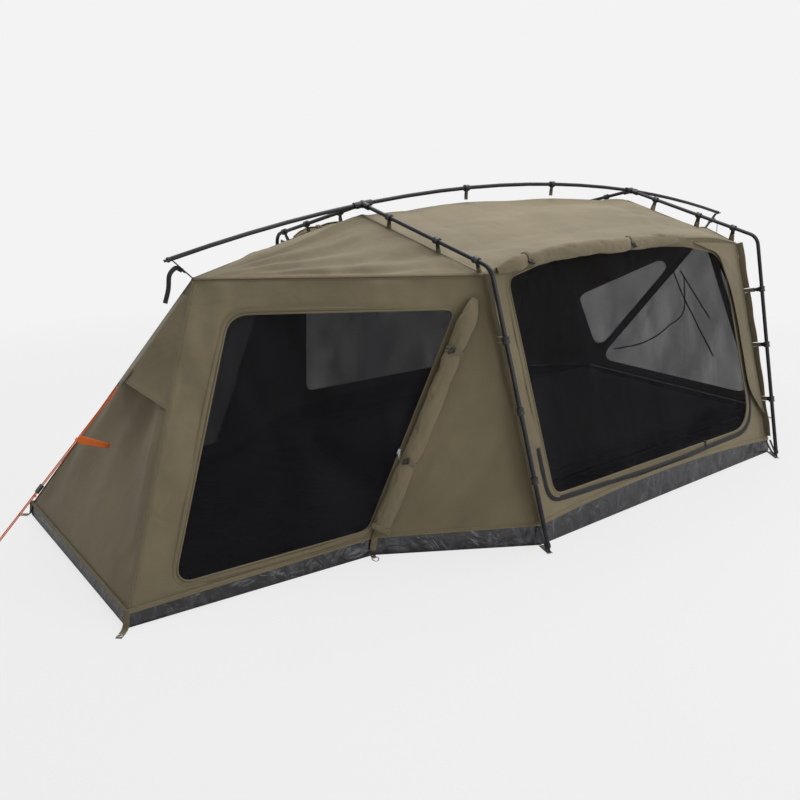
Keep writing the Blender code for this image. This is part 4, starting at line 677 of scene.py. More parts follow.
def shape_cloth(obj, seed, along, sag=0.0, wrinkle=0.0025, size=0.16, stretch=3.0, creases=(), margin=0.05):
    """Move a panel's points along their normals: sag, stretched noise and single creases."""
    points = points_of(obj)
    normals = vertex_normals(obj)
    distance = edge_attributes(obj)
    share = np.clip(distance / margin, 0, 1)
    share = share * share * (3 - 2 * share)
    wide = np.clip(distance / 0.22, 0, 1)
    move = stretched_noise(points, seed, along, size, stretch) * wrinkle * 1.6
    move += stretched_noise(points, seed + 9.0, along, size * 0.38, stretch * 1.4) * wrinkle * 0.6
    for start, end, width, height in creases:
        move += crease(points, start, end, width, height)
    near_edge = np.clip(1 - distance / 0.045, 0, 1) * np.clip(distance / 0.004, 0, 1)
    pucker = stretched_noise(points, seed + 31.0, (0, 0, 1), 0.028, 1.0) * 0.0011
    points = points + normals * (move * share - sag * wide ** 2 + pucker * near_edge)[:, None]
    set_points(obj, points)


def finish_panel(obj, material, thickness, body="tent"):
    """Give the sheet its thickness inwards, smooth its shading and hang it on its body."""
    only(obj)
    solid = obj.modifiers.new("thickness", "SOLIDIFY")
    solid.thickness = thickness
    solid.offset = -1.0
    bpy.ops.object.modifier_apply(modifier="thickness")
    bpy.ops.object.shade_smooth_by_angle(angle=math.radians(50))
    obj.data.materials.append(material)
    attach(obj, body)


# The canvas is drawn 1.2 mm thick.
CANVAS_T = 0.0012
HEM_ALLOWANCE = 0.012
# Below this share of its rectangle a panel is a frame, which is cut as strips with some waste.
FRAME_SHARE = 0.33
STRIP_WASTE = 1.3


def flat_cut(obj):
    """The flat cut of a sheet: its width and length with hems, and its area, all in metres."""
    layer = obj.data.uv_layers[0].data
    coords = np.array([loop.uv[:] for loop in layer])
    width, length = (coords.max(0) - coords.min(0) + 2 * HEM_ALLOWANCE).tolist()
    _, _, rim = neighbours(obj)
    points = points_of(obj)
    border = float(np.linalg.norm(points[rim[:, 0]] - points[rim[:, 1]], axis=1).sum())
    cloth = sum(face.area for face in obj.data.polygons)
    area = cloth + border * HEM_ALLOWANCE
    if area < FRAME_SHARE * width * length:
        return STRIP_WASTE * cloth / (border / 2), border / 2, STRIP_WASTE * cloth
    return width, length, min(area, width * length)


def finish_cloth(obj, source, material, thickness, body="tent"):
    width, length, area = flat_cut(obj)
    finish_panel(obj, material, thickness, body)
    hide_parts(source)
    print("%s: cut %.2f by %.2f m, %.2f square metres" % (source, width, length, area))


print("fold helpers ready")

# %% [markdown]
# ## Roof
# Three canvas panels run over the ridge. They hang from clips, so the cloth dips a little between the
# ridge and the eaves, and long shallow folds run from the front peak back along the slope.

# %% Roof panels
# Each panel has a number of cuts and the settings of its folds.
ROOFS = {
    "roof_front": (8, dict(seed=3.0, along=(1, 0, 0.25), sag=0.010, wrinkle=0.0060, size=0.11, stretch=4.0)),
    "roof_main": (9, dict(seed=5.0, along=(1, 0.1, 0), sag=0.014, wrinkle=0.0075, size=0.14, stretch=4.0)),
    "roof_rear": (7, dict(seed=7.0, along=(1, 0, -0.2), sag=0.010, wrinkle=0.0060, size=0.13, stretch=3.0)),
}
# Where the clips of a hoop's bent section hold the roof, as shares of the seam from ridge to eave.
ROOF_CLIP_SHARES = (0.252, 0.664, 0.970)
# Metres down the slope for each metre across.
ROOF_SLOPE = 1.04


def keep_ridge(obj):
    """Which points lie on the ridge fold, which stays sharp."""
    return np.abs(points_of(obj)[:, 1]) < 0.002


def roof_pulls(name):
    """Folds that fan out of the peaks, and short ones at the clips, as start, end, width and height."""
    pulls = []
    for side in (-1, 1):
        for end in ("front", "rear"):
            peak, ridge, eave = (corner(end + place, side) for place in ("_peak", "_ridge", "_eave"))
            if name == "roof_" + end:
                for k, share in enumerate((0.10, 0.24, 0.38, 0.52, 0.66, 0.78, 0.90)):
                    goal = ridge.lerp(eave, share)
                    start = peak.lerp(goal, 0.10 + 0.05 * (k % 3))
                    width, height = (0.020, 0.0075) if k % 2 else (0.016, -0.0065)
                    pulls.append((start, peak.lerp(goal, 0.97), width, height))
            if name == "roof_main":
                inward = 1 if end == "front" else -1
                for share in ROOF_CLIP_SHARES:
                    seat = ridge.lerp(eave, share)
                    for turn, height in ((-0.10, 0.005), (0.12, -0.004)):
                        goal = seat + Vector((inward * 0.42, side * turn, 0.01))
                        pulls.append((seat, goal, 0.020, height))
    return pulls


for name, (cuts, folds) in ROOFS.items():
    piece = outer_skin(name + "_canvas", name, cuts)
    relax(piece, 6, keep_ridge(piece))
    map_in_metres(piece, (1, 0, 0), (0, ROOF_SLOPE, 0))
    shape_cloth(piece, **folds, creases=roof_pulls(name), margin=0.035)
    finish_cloth(piece, name, canvas, CANVAS_T)

# %% [markdown]
# ## Walls
# The side walls lean in from the tub to the eaves. Each has an opening whose edge is bound, and a
# crease where a pole pulls the cloth out at the shoulder. The end walls close the vestibule and the
# foot end.

# %% Side walls and end walls


def vestibule_creases(side):
    """The single creases of a vestibule wall, as start, end, half width and height."""
    eave, waist, shoulder = (corner(name, side) for name in ("front_eave", "waist", "front_shoulder"))
    peak, nose = corner("front_peak", side), corner("nose", side)
    return [
        (eave.lerp(waist, 0.05) + UP * 0.01, eave.lerp(shoulder, 0.75), 0.026, 0.007),
        (waist.lerp(shoulder, 0.45), eave.lerp(shoulder, 0.55), 0.020, -0.006),
        (waist.lerp(shoulder, 0.12) + UP * 0.03, eave.lerp(shoulder, 0.35), 0.020, 0.005),
        (nose.lerp(waist, 0.25), nose.lerp(waist, 0.8), 0.012, 0.003),
        (peak.lerp(nose, 0.25), peak.lerp(nose, 0.85), 0.030, -0.003),
    ]


# Each wall has a number of cuts, a seed and the settings of its folds.
WALLS = {
    "wall_front": (7, 11.0, dict(along=(0.3, 0, 1), wrinkle=0.0055, size=0.12, stretch=3.0)),
    "wall_main": (7, 13.0, dict(along=(1, 0, 0.1), wrinkle=0.0036, size=0.10, stretch=3.0)),
    "wall_rear": (8, 17.0, dict(along=(0.2, 0, 1), wrinkle=0.0040, size=0.12, stretch=3.0)),
}
for kind, (cuts, seed, folds) in WALLS.items():
    for side_name, side in SIDES.items():
        source = kind + "_" + side_name
        piece = outer_skin(source + "_canvas", source, cuts)
        relax(piece, 3)
        map_in_metres(piece, (1, 0, 0), (0, side * -0.32, 0.95))
        creases = vestibule_creases(side) if kind == "wall_front" else ()
        shape_cloth(piece, seed + side, **folds, creases=creases, margin=0.03)
        finish_cloth(piece, source, canvas, CANVAS_T)

# The front end wall hangs in folds from its peak; each is a place across, a half width and a height.
END_FOLDS = [(-0.36, 0.028, 0.010), (-0.20, 0.022, -0.008), (-0.05, 0.024, 0.009), (0.12, 0.03, -0.008),
             (0.30, 0.03, 0.008)]
peak = corner("front_peak", 1)
pulls = []
for y, width, height in END_FOLDS:
    low = Vector((-1.26, y, 0.20))
    pulls.append((peak.lerp(low, 0.35), low, width, height))
for source, cuts, lean, creases in (("end_front", 7, 0.5, pulls), ("end_rear", 9, -0.2, ())):
    piece = outer_skin(source + "_canvas", source, cuts)
    relax(piece, 4)
    map_in_metres(piece, (0, 1, 0), (lean, 0, 0.87))
    shape_cloth(piece, 23.0 + len(source), (0.5, 0, 0.87), 0.006, 0.0045, 0.13, 2.5, creases, 0.05)
    finish_cloth(piece, source, canvas, CANVAS_T)

# %% [markdown]
# ## Insect mesh
# The mesh panels fill the openings. They are lighter than the canvas, so they belly a little.

# %% Mesh panels
# The insect mesh is drawn 0.7 mm thick.
NET_T = 0.0007


def make_mesh_panel(source, side, body="tent", material=insect_mesh):
    """One panel of insect mesh from its CAD slab."""
    piece = outer_skin(source + "_net", source, 9)
    relax(piece, 12)
    map_in_metres(piece, (1, 0, 0) if side else (0, 1, 0), (0, side * -0.32, 0.95))
    shape_cloth(piece, 41.0 + len(source), (0.25, 0, 1), 0.006, 0.0055, 0.14, 4.0, (), 0.06)
    finish_cloth(piece, source, material, NET_T, body)


for side_name, side in SIDES.items():
    make_mesh_panel("door_mesh_" + side_name, side, side_name + "_door", door_mesh)
for kind in ("window_mesh_", "rear_mesh_"):
    for side_name, side in SIDES.items():
        make_mesh_panel(kind + side_name, side)
make_mesh_panel("end_mesh", 0)

# %% [markdown]
# ## Swept pieces
# Straps, piping, ties and cords are all one idea: a small outline carried along a path. The path's
# up directions keep a strap from twisting, and the piece's map runs in metres along and around it.

# %% Sweep an outline along a path


def flat_outline(width, thickness, lip=0.35):
    """The outline of a strap, its edges a little thinner than its middle."""
    w, t = width / 2, thickness / 2
    e = t * lip
    under = [(-w, -e), (-w * 0.9, -t), (0.0, -t), (w * 0.9, -t), (w, -e)]
    return under + [(x, -y) for x, y in reversed(under)]


def turns_of(count):
    """Evenly spaced angles once round a circle."""
    return [2 * math.pi * i / count for i in range(count)]


def round_outline(radius, count=10):
    """The outline of a cord."""
    return [(radius * math.cos(a), radius * math.sin(a)) for a in turns_of(count)]


def sweep(name, path, ups, outline, material, body="tent", closed=False, sizes=None):
    """Carry an outline along a path. Its first coordinate is across the path, its second along up.

    The up directions are a list, or one direction for the whole path.
    """
    path = [Vector(p) for p in path]
    count = len(path)
    ups = ups if isinstance(ups, list) else [Vector(ups)] * count
    rings = len(outline)
    verts, uvs = [], []
    run = 0.0
    around = [0.0]
    for (x0, y0), (x1, y1) in zip(outline, outline[1:] + outline[:1]):
        around.append(around[-1] + math.hypot(x1 - x0, y1 - y0))
    for i, point in enumerate(path):
        before = path[i - 1] if closed or i else path[0]
        after = path[(i + 1) % count] if closed or i < count - 1 else path[-1]
        tangent = (after - before).normalized()
        across = tangent.cross(ups[i]).normalized()
        upper = across.cross(tangent).normalized()
        size = sizes[i] if sizes else 1.0
        if i:
            run += (point - path[i - 1]).length
        for k, (x, y) in enumerate(outline):
            verts.append(point + across * (x * size) + upper * (y * size))
            uvs.append((run, around[k]))
    faces = []
    for i in range(count if closed else count - 1):
        j = (i + 1) % count
        for k in range(rings):
            m = (k + 1) % rings
            faces.append((i * rings + k, j * rings + k, j * rings + m, i * rings + m))
    if not closed:
        faces.append(tuple(range(rings)))
        faces.append(tuple(reversed(range((count - 1) * rings, count * rings))))
    mesh = bpy.data.meshes.new(name)
    mesh.from_pydata(verts, [], faces)
    layer = mesh.uv_layers.new(name="UVMap")
    for loop in mesh.loops:
        layer.data[loop.index].uv = uvs[loop.vertex_index]
    half = max(abs(x) for x, _ in outline)
    flat = half > 2 * max(abs(y) for _, y in outline)
    to_edge = [half - abs(x) if flat else 1.0 for x, _ in outline] * count
    store(mesh, "edge_distance", to_edge)
    store(mesh, "edge_run", [u for u, _ in uvs])
    bm = bmesh.new()
    bm.from_mesh(mesh)
    bmesh.ops.recalc_face_normals(bm, faces=bm.faces)
    bm.to_mesh(mesh)
    bm.free()
    mesh.materials.append(material)
    obj = add_object(name, mesh)
    only(obj)
    bpy.ops.object.shade_smooth_by_angle(angle=math.radians(45))
    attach(obj, body)
    return obj


def smooth_path(points, steps):
    """A smooth curve through a few points."""
    points = [Vector(p) for p in points]
    padded = [points[0] * 2 - points[1]] + points + [points[-1] * 2 - points[-2]]
    line = []
    for i in range(1, len(padded) - 2):
        a, b, c, d = padded[i - 1:i + 3]
        for k in range(steps):
            t = k / steps
            bend, twist = 2 * a - 5 * b + 4 * c - d, 3 * b - a - 3 * c + d
            line.append(0.5 * (2 * b + (c - a) * t + bend * t * t + twist * t ** 3))
    line.append(points[-1])
    return line


print("sweep helper ready")

# %% [markdown]
# ## Floor tub
# The floor is one sheet of PVC whose edge turns up into a low wall, welded at the corners. The wall
# is built from the same plan as the CAD: a ring of points on the ground and a ring at the rim, joined
# by rows that bulge slightly, with a rounded turn at the ground.

# %% Tub sheet


def tub_outline(steps):
    """Pairs of a rim point and the ground point below it, once round the tub."""
    pairs = []
    for side, order in ((-1, 1), (1, -1)):
        walk = list(TUB_PLAN)[::order]
        for name, next_name in zip(walk, walk[1:]):
            first, last = (name, next_name) if order == 1 else (next_name, name)
            rim = seam(first, last, side, steps)[::order]
            a, b = TUB_PLAN[name], TUB_PLAN[next_name]
            for i in range(steps):
                t = i / steps
                ground = Vector((a[0] + (b[0] - a[0]) * t, side * (a[1] + (b[1] - a[1]) * t), 0.0))
                pairs.append((rim[i], ground))
        end = walk[-1]
        near, far = corner(end, side), corner(end, -side)
        x, y, _ = TUB_PLAN[end]
        for i in range(steps):
            t = i / steps
            pairs.append((near.lerp(far, t), Vector((x, side * y * (1 - 2 * t), 0.0))))
    return pairs


# Rows of the tub's wall from its rim down: a share of the height, and how far it bulges out.
TUB_ROWS = ((1.0, 0.0), (0.8, 0.0012), (0.6, 0.0018), (0.4, 0.0018), (0.22, 0.0012), (0.10, 0.0),
            (0.02, -0.002), (0.0, -0.008))
FLOOR_LIFT = 0.0006
pairs = tub_outline(24)
centre = Vector((MIDDLE, 0.0, 0.0))
rows = []
for share, out in TUB_ROWS:
    row = []
    for rim, ground in pairs:
        point = ground.lerp(rim, share)
        away = Vector((ground.x - centre.x, ground.y, 0.0)).normalized()
        ripple = noise.noise(point * 9.0 + Vector((0, 0, 4.0))) * 0.0022 * math.sin(math.pi * share)
        point = point + away * (out + ripple)
        point.z = max(point.z, FLOOR_LIFT)
        row.append(point)
    rows.append(row)
for reach in (0.05, 0.25, 0.6):
    rows.append([ground.lerp(centre, reach) + UP * FLOOR_LIFT for _, ground in pairs])
verts = [p for row in rows for p in row] + [centre + UP * FLOOR_LIFT]
count = len(pairs)
faces = []
for r in range(len(rows) - 1):
    for i in range(count):
        j = (i + 1) % count
        faces.append((r * count + i, r * count + j, (r + 1) * count + j, (r + 1) * count + i))
last = (len(rows) - 1) * count
faces += [(last + i, last + (i + 1) % count, len(verts) - 1) for i in range(count)]
mesh = bpy.data.meshes.new("tub_sheet")
mesh.from_pydata(verts, [], faces)
tub = add_object("tub_sheet", mesh)
edit_all(tub)
bpy.ops.mesh.normals_make_consistent(inside=False)
bpy.ops.object.mode_set(mode="OBJECT")
lowest = min(tub.data.polygons, key=lambda face: face.center.z)
if lowest.normal.z > 0:
    tub.data.flip_normals()
map_in_metres(tub, (1, 0, 0), (0, 0.7, 0.7))
finish_cloth(tub, "floor_tub", pvc, 0.0011)

# %% [markdown]
# ## Piping and hems
# The seams between panels are felled: a narrow strip of canvas lies over them with two rows of
# stitches. The door and window openings are bound with canvas piping, and a lighter hem tape covers
# the seam between canvas and PVC.

# %% Border loops and seam strips


def border_loops(source):
    """The closed outlines of a CAD slab's outer skin, longest first, as lists of points."""
    piece = outer_skin("outline_probe", source, 0)
    _, _, rim = neighbours(piece)
    points = points_of(piece)
    links = linked_points(rim)
    left = set(links)
    loops = []
    while left:
        here = min(left)
        loop = [here]
        left.discard(here)
        while True:
            ahead = [n for n in links[here] if n in left]
            if not ahead:
                break
            here = ahead[0]
            left.discard(here)
            loop.append(here)
        loops.append([Vector(points[i]) for i in loop])
    bpy.data.objects.remove(piece)
    return sorted(loops, key=path_length, reverse=True)


def even_loop(loop, step):
    """A closed outline with its points respaced evenly and its corners rounded."""
    closed = loop + loop[:1]
    lengths = [0.0]
    for p, q in zip(closed, closed[1:]):
        lengths.append(lengths[-1] + (q - p).length)
    count = max(12, int(lengths[-1] / step))
    line = []
    k = 0
    for i in range(count):
        goal = lengths[-1] * i / count
        while lengths[k + 1] < goal:
            k += 1
        t = (goal - lengths[k]) / (lengths[k + 1] - lengths[k])
        line.append(closed[k].lerp(closed[k + 1], t))
    for _ in range(2):
        line = [(line[i - 1] + line[i] * 2 + line[(i + 1) % count]) / 4 for i in range(count)]
    return line


def loop_normals(line, side):
    """A steady outward normal for each point of an opening's outline."""
    middle = sum(line, Vector()) / len(line)
    total = Vector()
    for p, q in zip(line, line[1:] + line[:1]):
        total += (p - middle).cross(q - middle)
    total.normalize()
    if total.y * side < 0 or (side == 0 and total.x < 0):
        total = -total
    normals = []
    for i, p in enumerate(line):
        along = (line[(i + 1) % len(line)] - line[i - 1]).normalized()
        normals.append((total - along * total.dot(along)).normalized())
    return normals


# Strips lie this far above the cloth that they cover.
SEAM_LIFT = 0.0016
BINDING_LIFT = 0.0012


def bind_opening(name, source, side, width, radius, hinge_gap=0.0):
    """Piping round an opening, and the flat binding beside it.

    A hinge gap keeps the binding clear of the mesh door where the door swings.
    """
    line = even_loop(border_loops(source)[-1], 0.012)
    normals = loop_normals(line, side)
    lifted = [p + n * SEAM_LIFT for p, n in zip(line, normals)]
    sweep(name + "_piping", lifted, normals, round_outline(radius, 8), canvas, closed=True)
    middle = sum(line, Vector()) / len(line)
    waist = corner("waist", side)
    slope = corner("front_eave", side) - waist
    outside = []
    for p, n in zip(line, normals):
        away = p - middle
        away = (away - n * away.dot(n)).normalized()
        gap = hinge_gap * clamp((p - waist).cross(slope).length / slope.length * 10 - 1)
        outside.append(p + away * (width * 0.5 + gap) + n * BINDING_LIFT)
    sweep(name + "_binding", outside, normals, flat_outline(width, 0.0014), canvas, closed=True)


def lay_on(line, piece, lift):
    """Move the points of a line onto a piece of cloth, a little above it."""
    data = bpy.data.objects[piece].data
    tree = bvhtree.BVHTree.FromPolygons([v.co for v in data.vertices], [f.vertices for f in data.polygons])
    laid = []
    for point in line:
        spot, normal, _, _ = tree.find_nearest(point)
        if (point - spot).dot(normal) < -0.001:
            normal = -normal
        laid.append(spot + normal * lift)
    return laid


def felled_seam(name, line, up, width=0.013, thickness=0.0018):
    """A narrow strip over a seam between two panels."""
    sweep(name, [p + up * SEAM_LIFT for p in line], up, flat_outline(width, thickness), canvas)


for side_name, side in SIDES.items():
    bind_opening("door_" + side_name, "wall_front_" + side_name, side, 0.013, 0.0030, 0.0065)
    bind_opening("window_" + side_name, "wall_main_" + side_name, side, 0.020, 0.0034)
    bind_opening("rear_" + side_name, "wall_rear_" + side_name, side, 0.010, 0.0024)
bind_opening("foot_end", "end_rear", 0, 0.010, 0.0024)
print("openings bound")

# %% Seam strips between the panels
# Each seam has a start, an end and a third corner of the panel on either side of it.
SEAM_LIST = [
    ("front_peak", "front_eave", "front_ridge", "nose"),
    ("front_eave", "rear_eave", "front_ridge", "front_shoulder"),
    ("rear_eave", "rear_peak", "rear_ridge", "tail"),
    ("front_ridge", "front_eave", "front_peak", "rear_ridge"),
    ("rear_ridge", "rear_eave", "rear_peak", "front_ridge"),
    ("front_peak", "nose", "front_eave", "nose_far"),
    ("rear_peak", "tail", "rear_eave", "tail_far"),
    ("front_eave", "front_shoulder", "waist", "rear_eave"),
    ("rear_eave", "rear_shoulder", "front_eave", "tail"),
]
for start, end, one, other in SEAM_LIST:
    for side_name, side in SIDES.items():
        line = seam(start, end, side, 40)
        a, b = line[0], line[-1]
        normals = []
        for third in (one, other):
            c = corner(third[:-4], -side) if third.endswith("_far") else corner(third, side)
            normals.append(plane_normal(a, b, c))
        up = (normals[0] + normals[1]).normalized()
        felled_seam("seam_%s_%s_%s" % (start, end, side_name), line, up)
# The hem tape covers the tub's rim, a little above it.
HEM_TAPE = (0.015, 0.0012)
HEM_RISE = UP * 0.007
RIM_RUNS = [("nose", "waist"), ("waist", "front_shoulder"), ("front_shoulder", "rear_shoulder"),
            ("rear_shoulder", "tail")]
for side_name, side in SIDES.items():
    for start, end in RIM_RUNS:
        line = seam(start, end, side, 40)
        out = (line[-1] - line[0]).cross(UP).normalized() * -side
        if out.y * side < 0:
            out = -out
        up = (out + UP * 0.35).normalized()
        felled_seam("hem_%s_%s" % (start, side_name), [p + HEM_RISE for p in line], up, *HEM_TAPE)
for end, direction in (("nose", -1), ("tail", 1)):
    line = [corner(end, -1).lerp(corner(end, 1), i / 30) + HEM_RISE for i in range(31)]
    felled_seam("hem_" + end, line, Vector((direction, 0, 0.4)).normalized(), *HEM_TAPE)
print("seams covered")

# %% [markdown]
# ## Rolled doors and window covers
# Each canvas door is rolled up beside its opening and tied back. A roll is a sheet wound into a
# flattened spiral, so its outline is a spiral carried along the path, drawn in where the ties hold it
# and loose between them.

# %% Rolls


def spiral_outline(width, depth, turns, gap, count):
    """A flattened spiral from the outside in, as a closed thin outline."""
    outer, inner = [], []
    for i in range(count + 1):
        t = i / count
        angle = 2 * math.pi * turns * t
        shrink = 1 - gap * turns * t
        c, s = math.cos(angle), math.sin(angle)
        x = math.copysign(abs(c) ** 0.85, c) * width / 2 * shrink
        y = math.copysign(abs(s) ** 0.85, s) * depth / 2 * shrink
        outer.append((x, y))
        inner.append((x * 0.95, y * 0.95))
    return outer + inner[::-1]


def tie_round(name, point, tangent, out, width, depth):
    """A tie round a roll: two narrow bands sewn to the wall, closed with a black toggle."""
    across = tangent.cross(out).normalized()
    for k, shift in enumerate((-0.0075, 0.0075)):
        hoop, ups = [], []
        for i in range(25):
            angle = math.radians(-38 + 256 * i / 24)
            ray = across * (math.cos(angle) * width / 2) + out * (math.sin(angle) * depth / 2)
            hoop.append(point + ray + tangent * (shift * (1 - 0.45 * math.sin(math.pi * i / 24))))
            ups.append(ray.normalized())
        sweep("%s_band_%d" % (name, k), hoop, ups, flat_outline(0.0075, 0.0018), khaki_webbing)
    place = point + out * (depth / 2 + 0.0045) * 0.94 + across * (width * 0.22)
    bar_dir = (tangent * 0.9 + across * 0.45).normalized()
    bar_line = [place + bar_dir * (0.016 * t) for t in (-1, -0.85, -0.4, 0, 0.4, 0.85, 1)]
    sweep(name + "_toggle", bar_line, out, round_outline(0.0048), moulded,
          sizes=[0.55, 0.95, 0.85, 0.7, 0.85, 0.95, 0.55])
    ring = [place + (across * math.cos(a) * 0.010 + tangent * math.sin(a) * 0.0075) - out * 0.0006
            for a in turns_of(20)]
    sweep(name + "_elastic", ring, out, round_outline(0.0016, 8), black_webbing, closed=True)


ROLL_DEPTH = 0.046
ROLL_TURNS = 2.3


def canvas_roll(source, path, outs, width, ties, tapers):
    """A rolled canvas cover along a path, with its ties. The tapers are lengths at its two ends."""
    depth = ROLL_DEPTH
    count = len(path)
    length = (path[-1] - path[0]).length
    outline = spiral_outline(width * 0.97, depth * 0.97, ROLL_TURNS, 0.24, 64)
    sizes = []
    line = []
    for i, point in enumerate(path):
        t = i / (count - 1)
        pinch = sum(math.exp(-(((t - tie) * length / 0.028) ** 2)) for tie in ties)
        size = 1 - 0.17 * pinch + 0.02 * noise.noise(Vector((t * 9, 3.0, 1.0)))
        for to_end, taper in ((t * length, tapers[0]), ((1 - t) * length, tapers[1])):
            if to_end < taper:
                size *= 0.42 + 0.58 * math.sin(math.pi / 2 * to_end / taper)
        sizes.append(size)
        across = (path[-1] - path[0]).normalized().cross(outs[i]).normalized()
        sway = 0.006 * noise.noise(Vector((t * length * 7, 5.0, 2.0)))
        line.append(point - outs[i] * (depth / 2 * (1 - size)) + across * sway)
    roll = sweep(source + "_canvas", line, outs, outline, canvas)
    points = points_of(roll)
    per = len(outline)
    for i in range(count):
        ring = points[i * per:(i + 1) * per]
        middle = np.array(line[i])
        t = i / (count - 1)
        loose = 1 - 0.6 * sum(math.exp(-(((t - tie) * length / 0.03) ** 2)) for tie in ties)
        wobble = np.array([noise.noise(Vector(p) * 14.0) for p in ring])
        twist = np.array([noise.noise(Vector((p[0] * 5, p[1] * 5, p[2] * 26))) for p in ring])
        valleys = np.zeros(per)
        for j in range(per):
            angle = 2 * math.pi * ROLL_TURNS * min(j, per - 1 - j) / (per / 2) + t * length * 5
            spot = Vector((math.cos(angle) * 1.7, math.sin(angle) * 1.7, t * length * 6))
            valleys[j] = max(0.0, 1 - 6.5 * abs(noise.noise(spot))) ** 1.4
        scale = sizes[i] * np.minimum(0.97 + 0.10 * wobble + 0.04 * twist - 0.20 * loose * valleys, 1.03)
        points[i * per:(i + 1) * per] = middle + (ring - middle) * scale[:, None]
    set_points(roll, points)
    for k, tie in enumerate(ties):
        i = round(tie * (count - 1))
        tangent = (line[i + 1] - line[i - 1]).normalized()
        tie_round("%s_tie_%d" % (source, k), line[i], tangent, outs[i],
                  width * sizes[i] + 0.002, depth * sizes[i] + 0.002)
    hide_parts(source)


def solid_centre_line(source, start, end, steps):
    """The centre line of a long CAD solid, from slices across the line between two points."""
    points = np.array([v.co[:] for v in nodes[source].data.vertices])
    axis = np.array((end - start).normalized())
    place = (points - np.array(start)) @ axis
    low, high = place.min(), place.max()
    line = []
    for i in range(steps + 1):
        goal = low + (high - low) * i / steps
        near = np.abs(place - goal) < (high - low) / 18
        weight = np.exp(-((place[near] - goal) / ((high - low) / 30)) ** 2)
        middle = (points[near] * weight[:, None]).sum(0) / weight.sum()
        middle = middle + axis * (goal - (middle - np.array(start)) @ axis)
        line.append(Vector(middle))
    return line


def door_roll_path(side_name, side, steps):
    """The centre line of a rolled door and its outward direction, as in the CAD."""
    eave, waist, shoulder = corner("front_eave", side), corner("waist", side), corner("front_shoulder", side)
    line = solid_centre_line("door_roll_" + side_name, eave, waist, steps)
    out = (plane_normal(eave, waist, shoulder) + Vector((-0.45, side * 0.85, 0.2))).normalized()
    toward = (waist - eave).normalized().cross(out).normalized()
    if toward.x > 0:
        toward = -toward
    return [point + toward * (0.003 + 0.010 * (i / steps) * (i / steps)) for i, point in enumerate(line)], out


def window_roll_path(side, steps):
    """The centre line of a rolled window cover, under the eave, as in the CAD."""
    eave = seam("front_eave", "rear_eave", side, 120)
    top_left, top_right = corner("front_eave", side), corner("rear_eave", side)
    low_right, low_left = corner("rear_shoulder", side), corner("front_shoulder", side)
    path, outs = [], []
    for i in range(steps + 1):
        share = 0.030 + 0.690 * i / steps
        place = share * 120
        index = min(int(place), 119)
        point = eave[index].lerp(eave[index + 1], place - index)
        along = top_right - top_left
        rising = top_left.lerp(top_right, share) - low_left.lerp(low_right, share)
        out = along.cross(rising).normalized()
        if out.y * side < 0:
            out = -out
        path.append(point + out * 0.0244 - UP * 0.004)
        outs.append(out)
    return path, outs


for side_name, side in SIDES.items():
    path, out = door_roll_path(side_name, side, 130)
    canvas_roll("door_roll_" + side_name, path, [out] * len(path), 0.070, (0.22, 0.70), (0.09, 0.0))
    end = path[-1]
    along = (path[-1] - path[-2]).normalized()
    across = along.cross(out).normalized()
    if across.x > 0:
        across = -across
    hem = [end - along * 0.010 + across * (0.0345 * t) + out * (0.0235 * (1 - 0.35 * t * t))
           for t in (-1, -0.8, -0.4, 0, 0.4, 0.8, 1)]
    sweep("door_roll_%s_hem" % side_name, hem, out, flat_outline(0.019, 0.0022), khaki_webbing)
    path, outs = window_roll_path(side, 180)
    canvas_roll("window_roll_" + side_name, path, outs, 0.064, (0.12, 0.65), (0.09, 0.20))
print("rolls made")

# %% [markdown]
# ## Visor
# A canvas flap is sewn over the front end wall and pulled out by the guy rope. It is stretched
# between the tent's corners and the eye, and creased down the middle where the rope pulls.

# %% Visor
VISOR_TIP = Vector((-1.111, 0.0, 0.609))
VISOR_ROWS, VISOR_COLUMNS = 36, 24
VISOR_LIFT = 0.0032
# The flap covers this stretch of the front end wall, as shares of the seam from peak to nose.
VISOR_TOP, VISOR_FOOT = 0.060, 0.430
lift = plane_normal(corner("front_peak", 1), corner("nose", -1), corner("nose", 1)) * VISOR_LIFT


def visor_edges(share):
    """The two side points of the visor at this share of the seams from peak to nose."""
    return [corner("front_peak", side).lerp(corner("nose", side), share) + lift for side in (-1, 1)]


def grid_mesh(name, rows):
    """A mesh from rows of points."""
    width = len(rows[0])
    faces = [(i * width + j, i * width + j + 1, (i + 1) * width + j + 1, (i + 1) * width + j)
             for i in range(len(rows) - 1) for j in range(width - 1)]
    mesh = bpy.data.meshes.new(name)
    mesh.from_pydata([p for row in rows for p in row], [], faces)
    return mesh


rows = []
top = sum(visor_edges(VISOR_TOP), Vector()) / 2
for i in range(VISOR_ROWS + 1):
    t = i / VISOR_ROWS
    edges = visor_edges(VISOR_TOP + (VISOR_FOOT - VISOR_TOP) * t)
    fold = top.lerp(VISOR_TIP, t)
    row = []
    for j in range(VISOR_COLUMNS + 1):
        u = 2 * j / VISOR_COLUMNS - 1
        point = fold.lerp(edges[0 if u < 0 else 1], abs(u))
        sink = 0.007 * math.sin(math.pi * abs(u)) * t
        row.append(point - Vector((-0.8, 0, 0.6)) * sink)
    rows.append(row)
mesh = grid_mesh("visor_canvas", rows)
if sum(face.normal.x for face in mesh.polygons) > 0:
    mesh.flip_normals()
visor = add_object("visor_canvas", mesh)
map_in_metres(visor, (0, 1, 0), (0.5, 0, 0.87))
shape_cloth(visor, 61.0, (0.5, 0, 0.87), 0.0, 0.0035, 0.10, 2.5, (), 0.03)
finish_cloth(visor, "visor", canvas, CANVAS_T)

# %% [markdown]
# ## Guy rope
# The guy rope is one cord, doubled round the visor's eye and the peg. Its route repeats the CAD's
# numbers. It is taut, so both strands are straight.

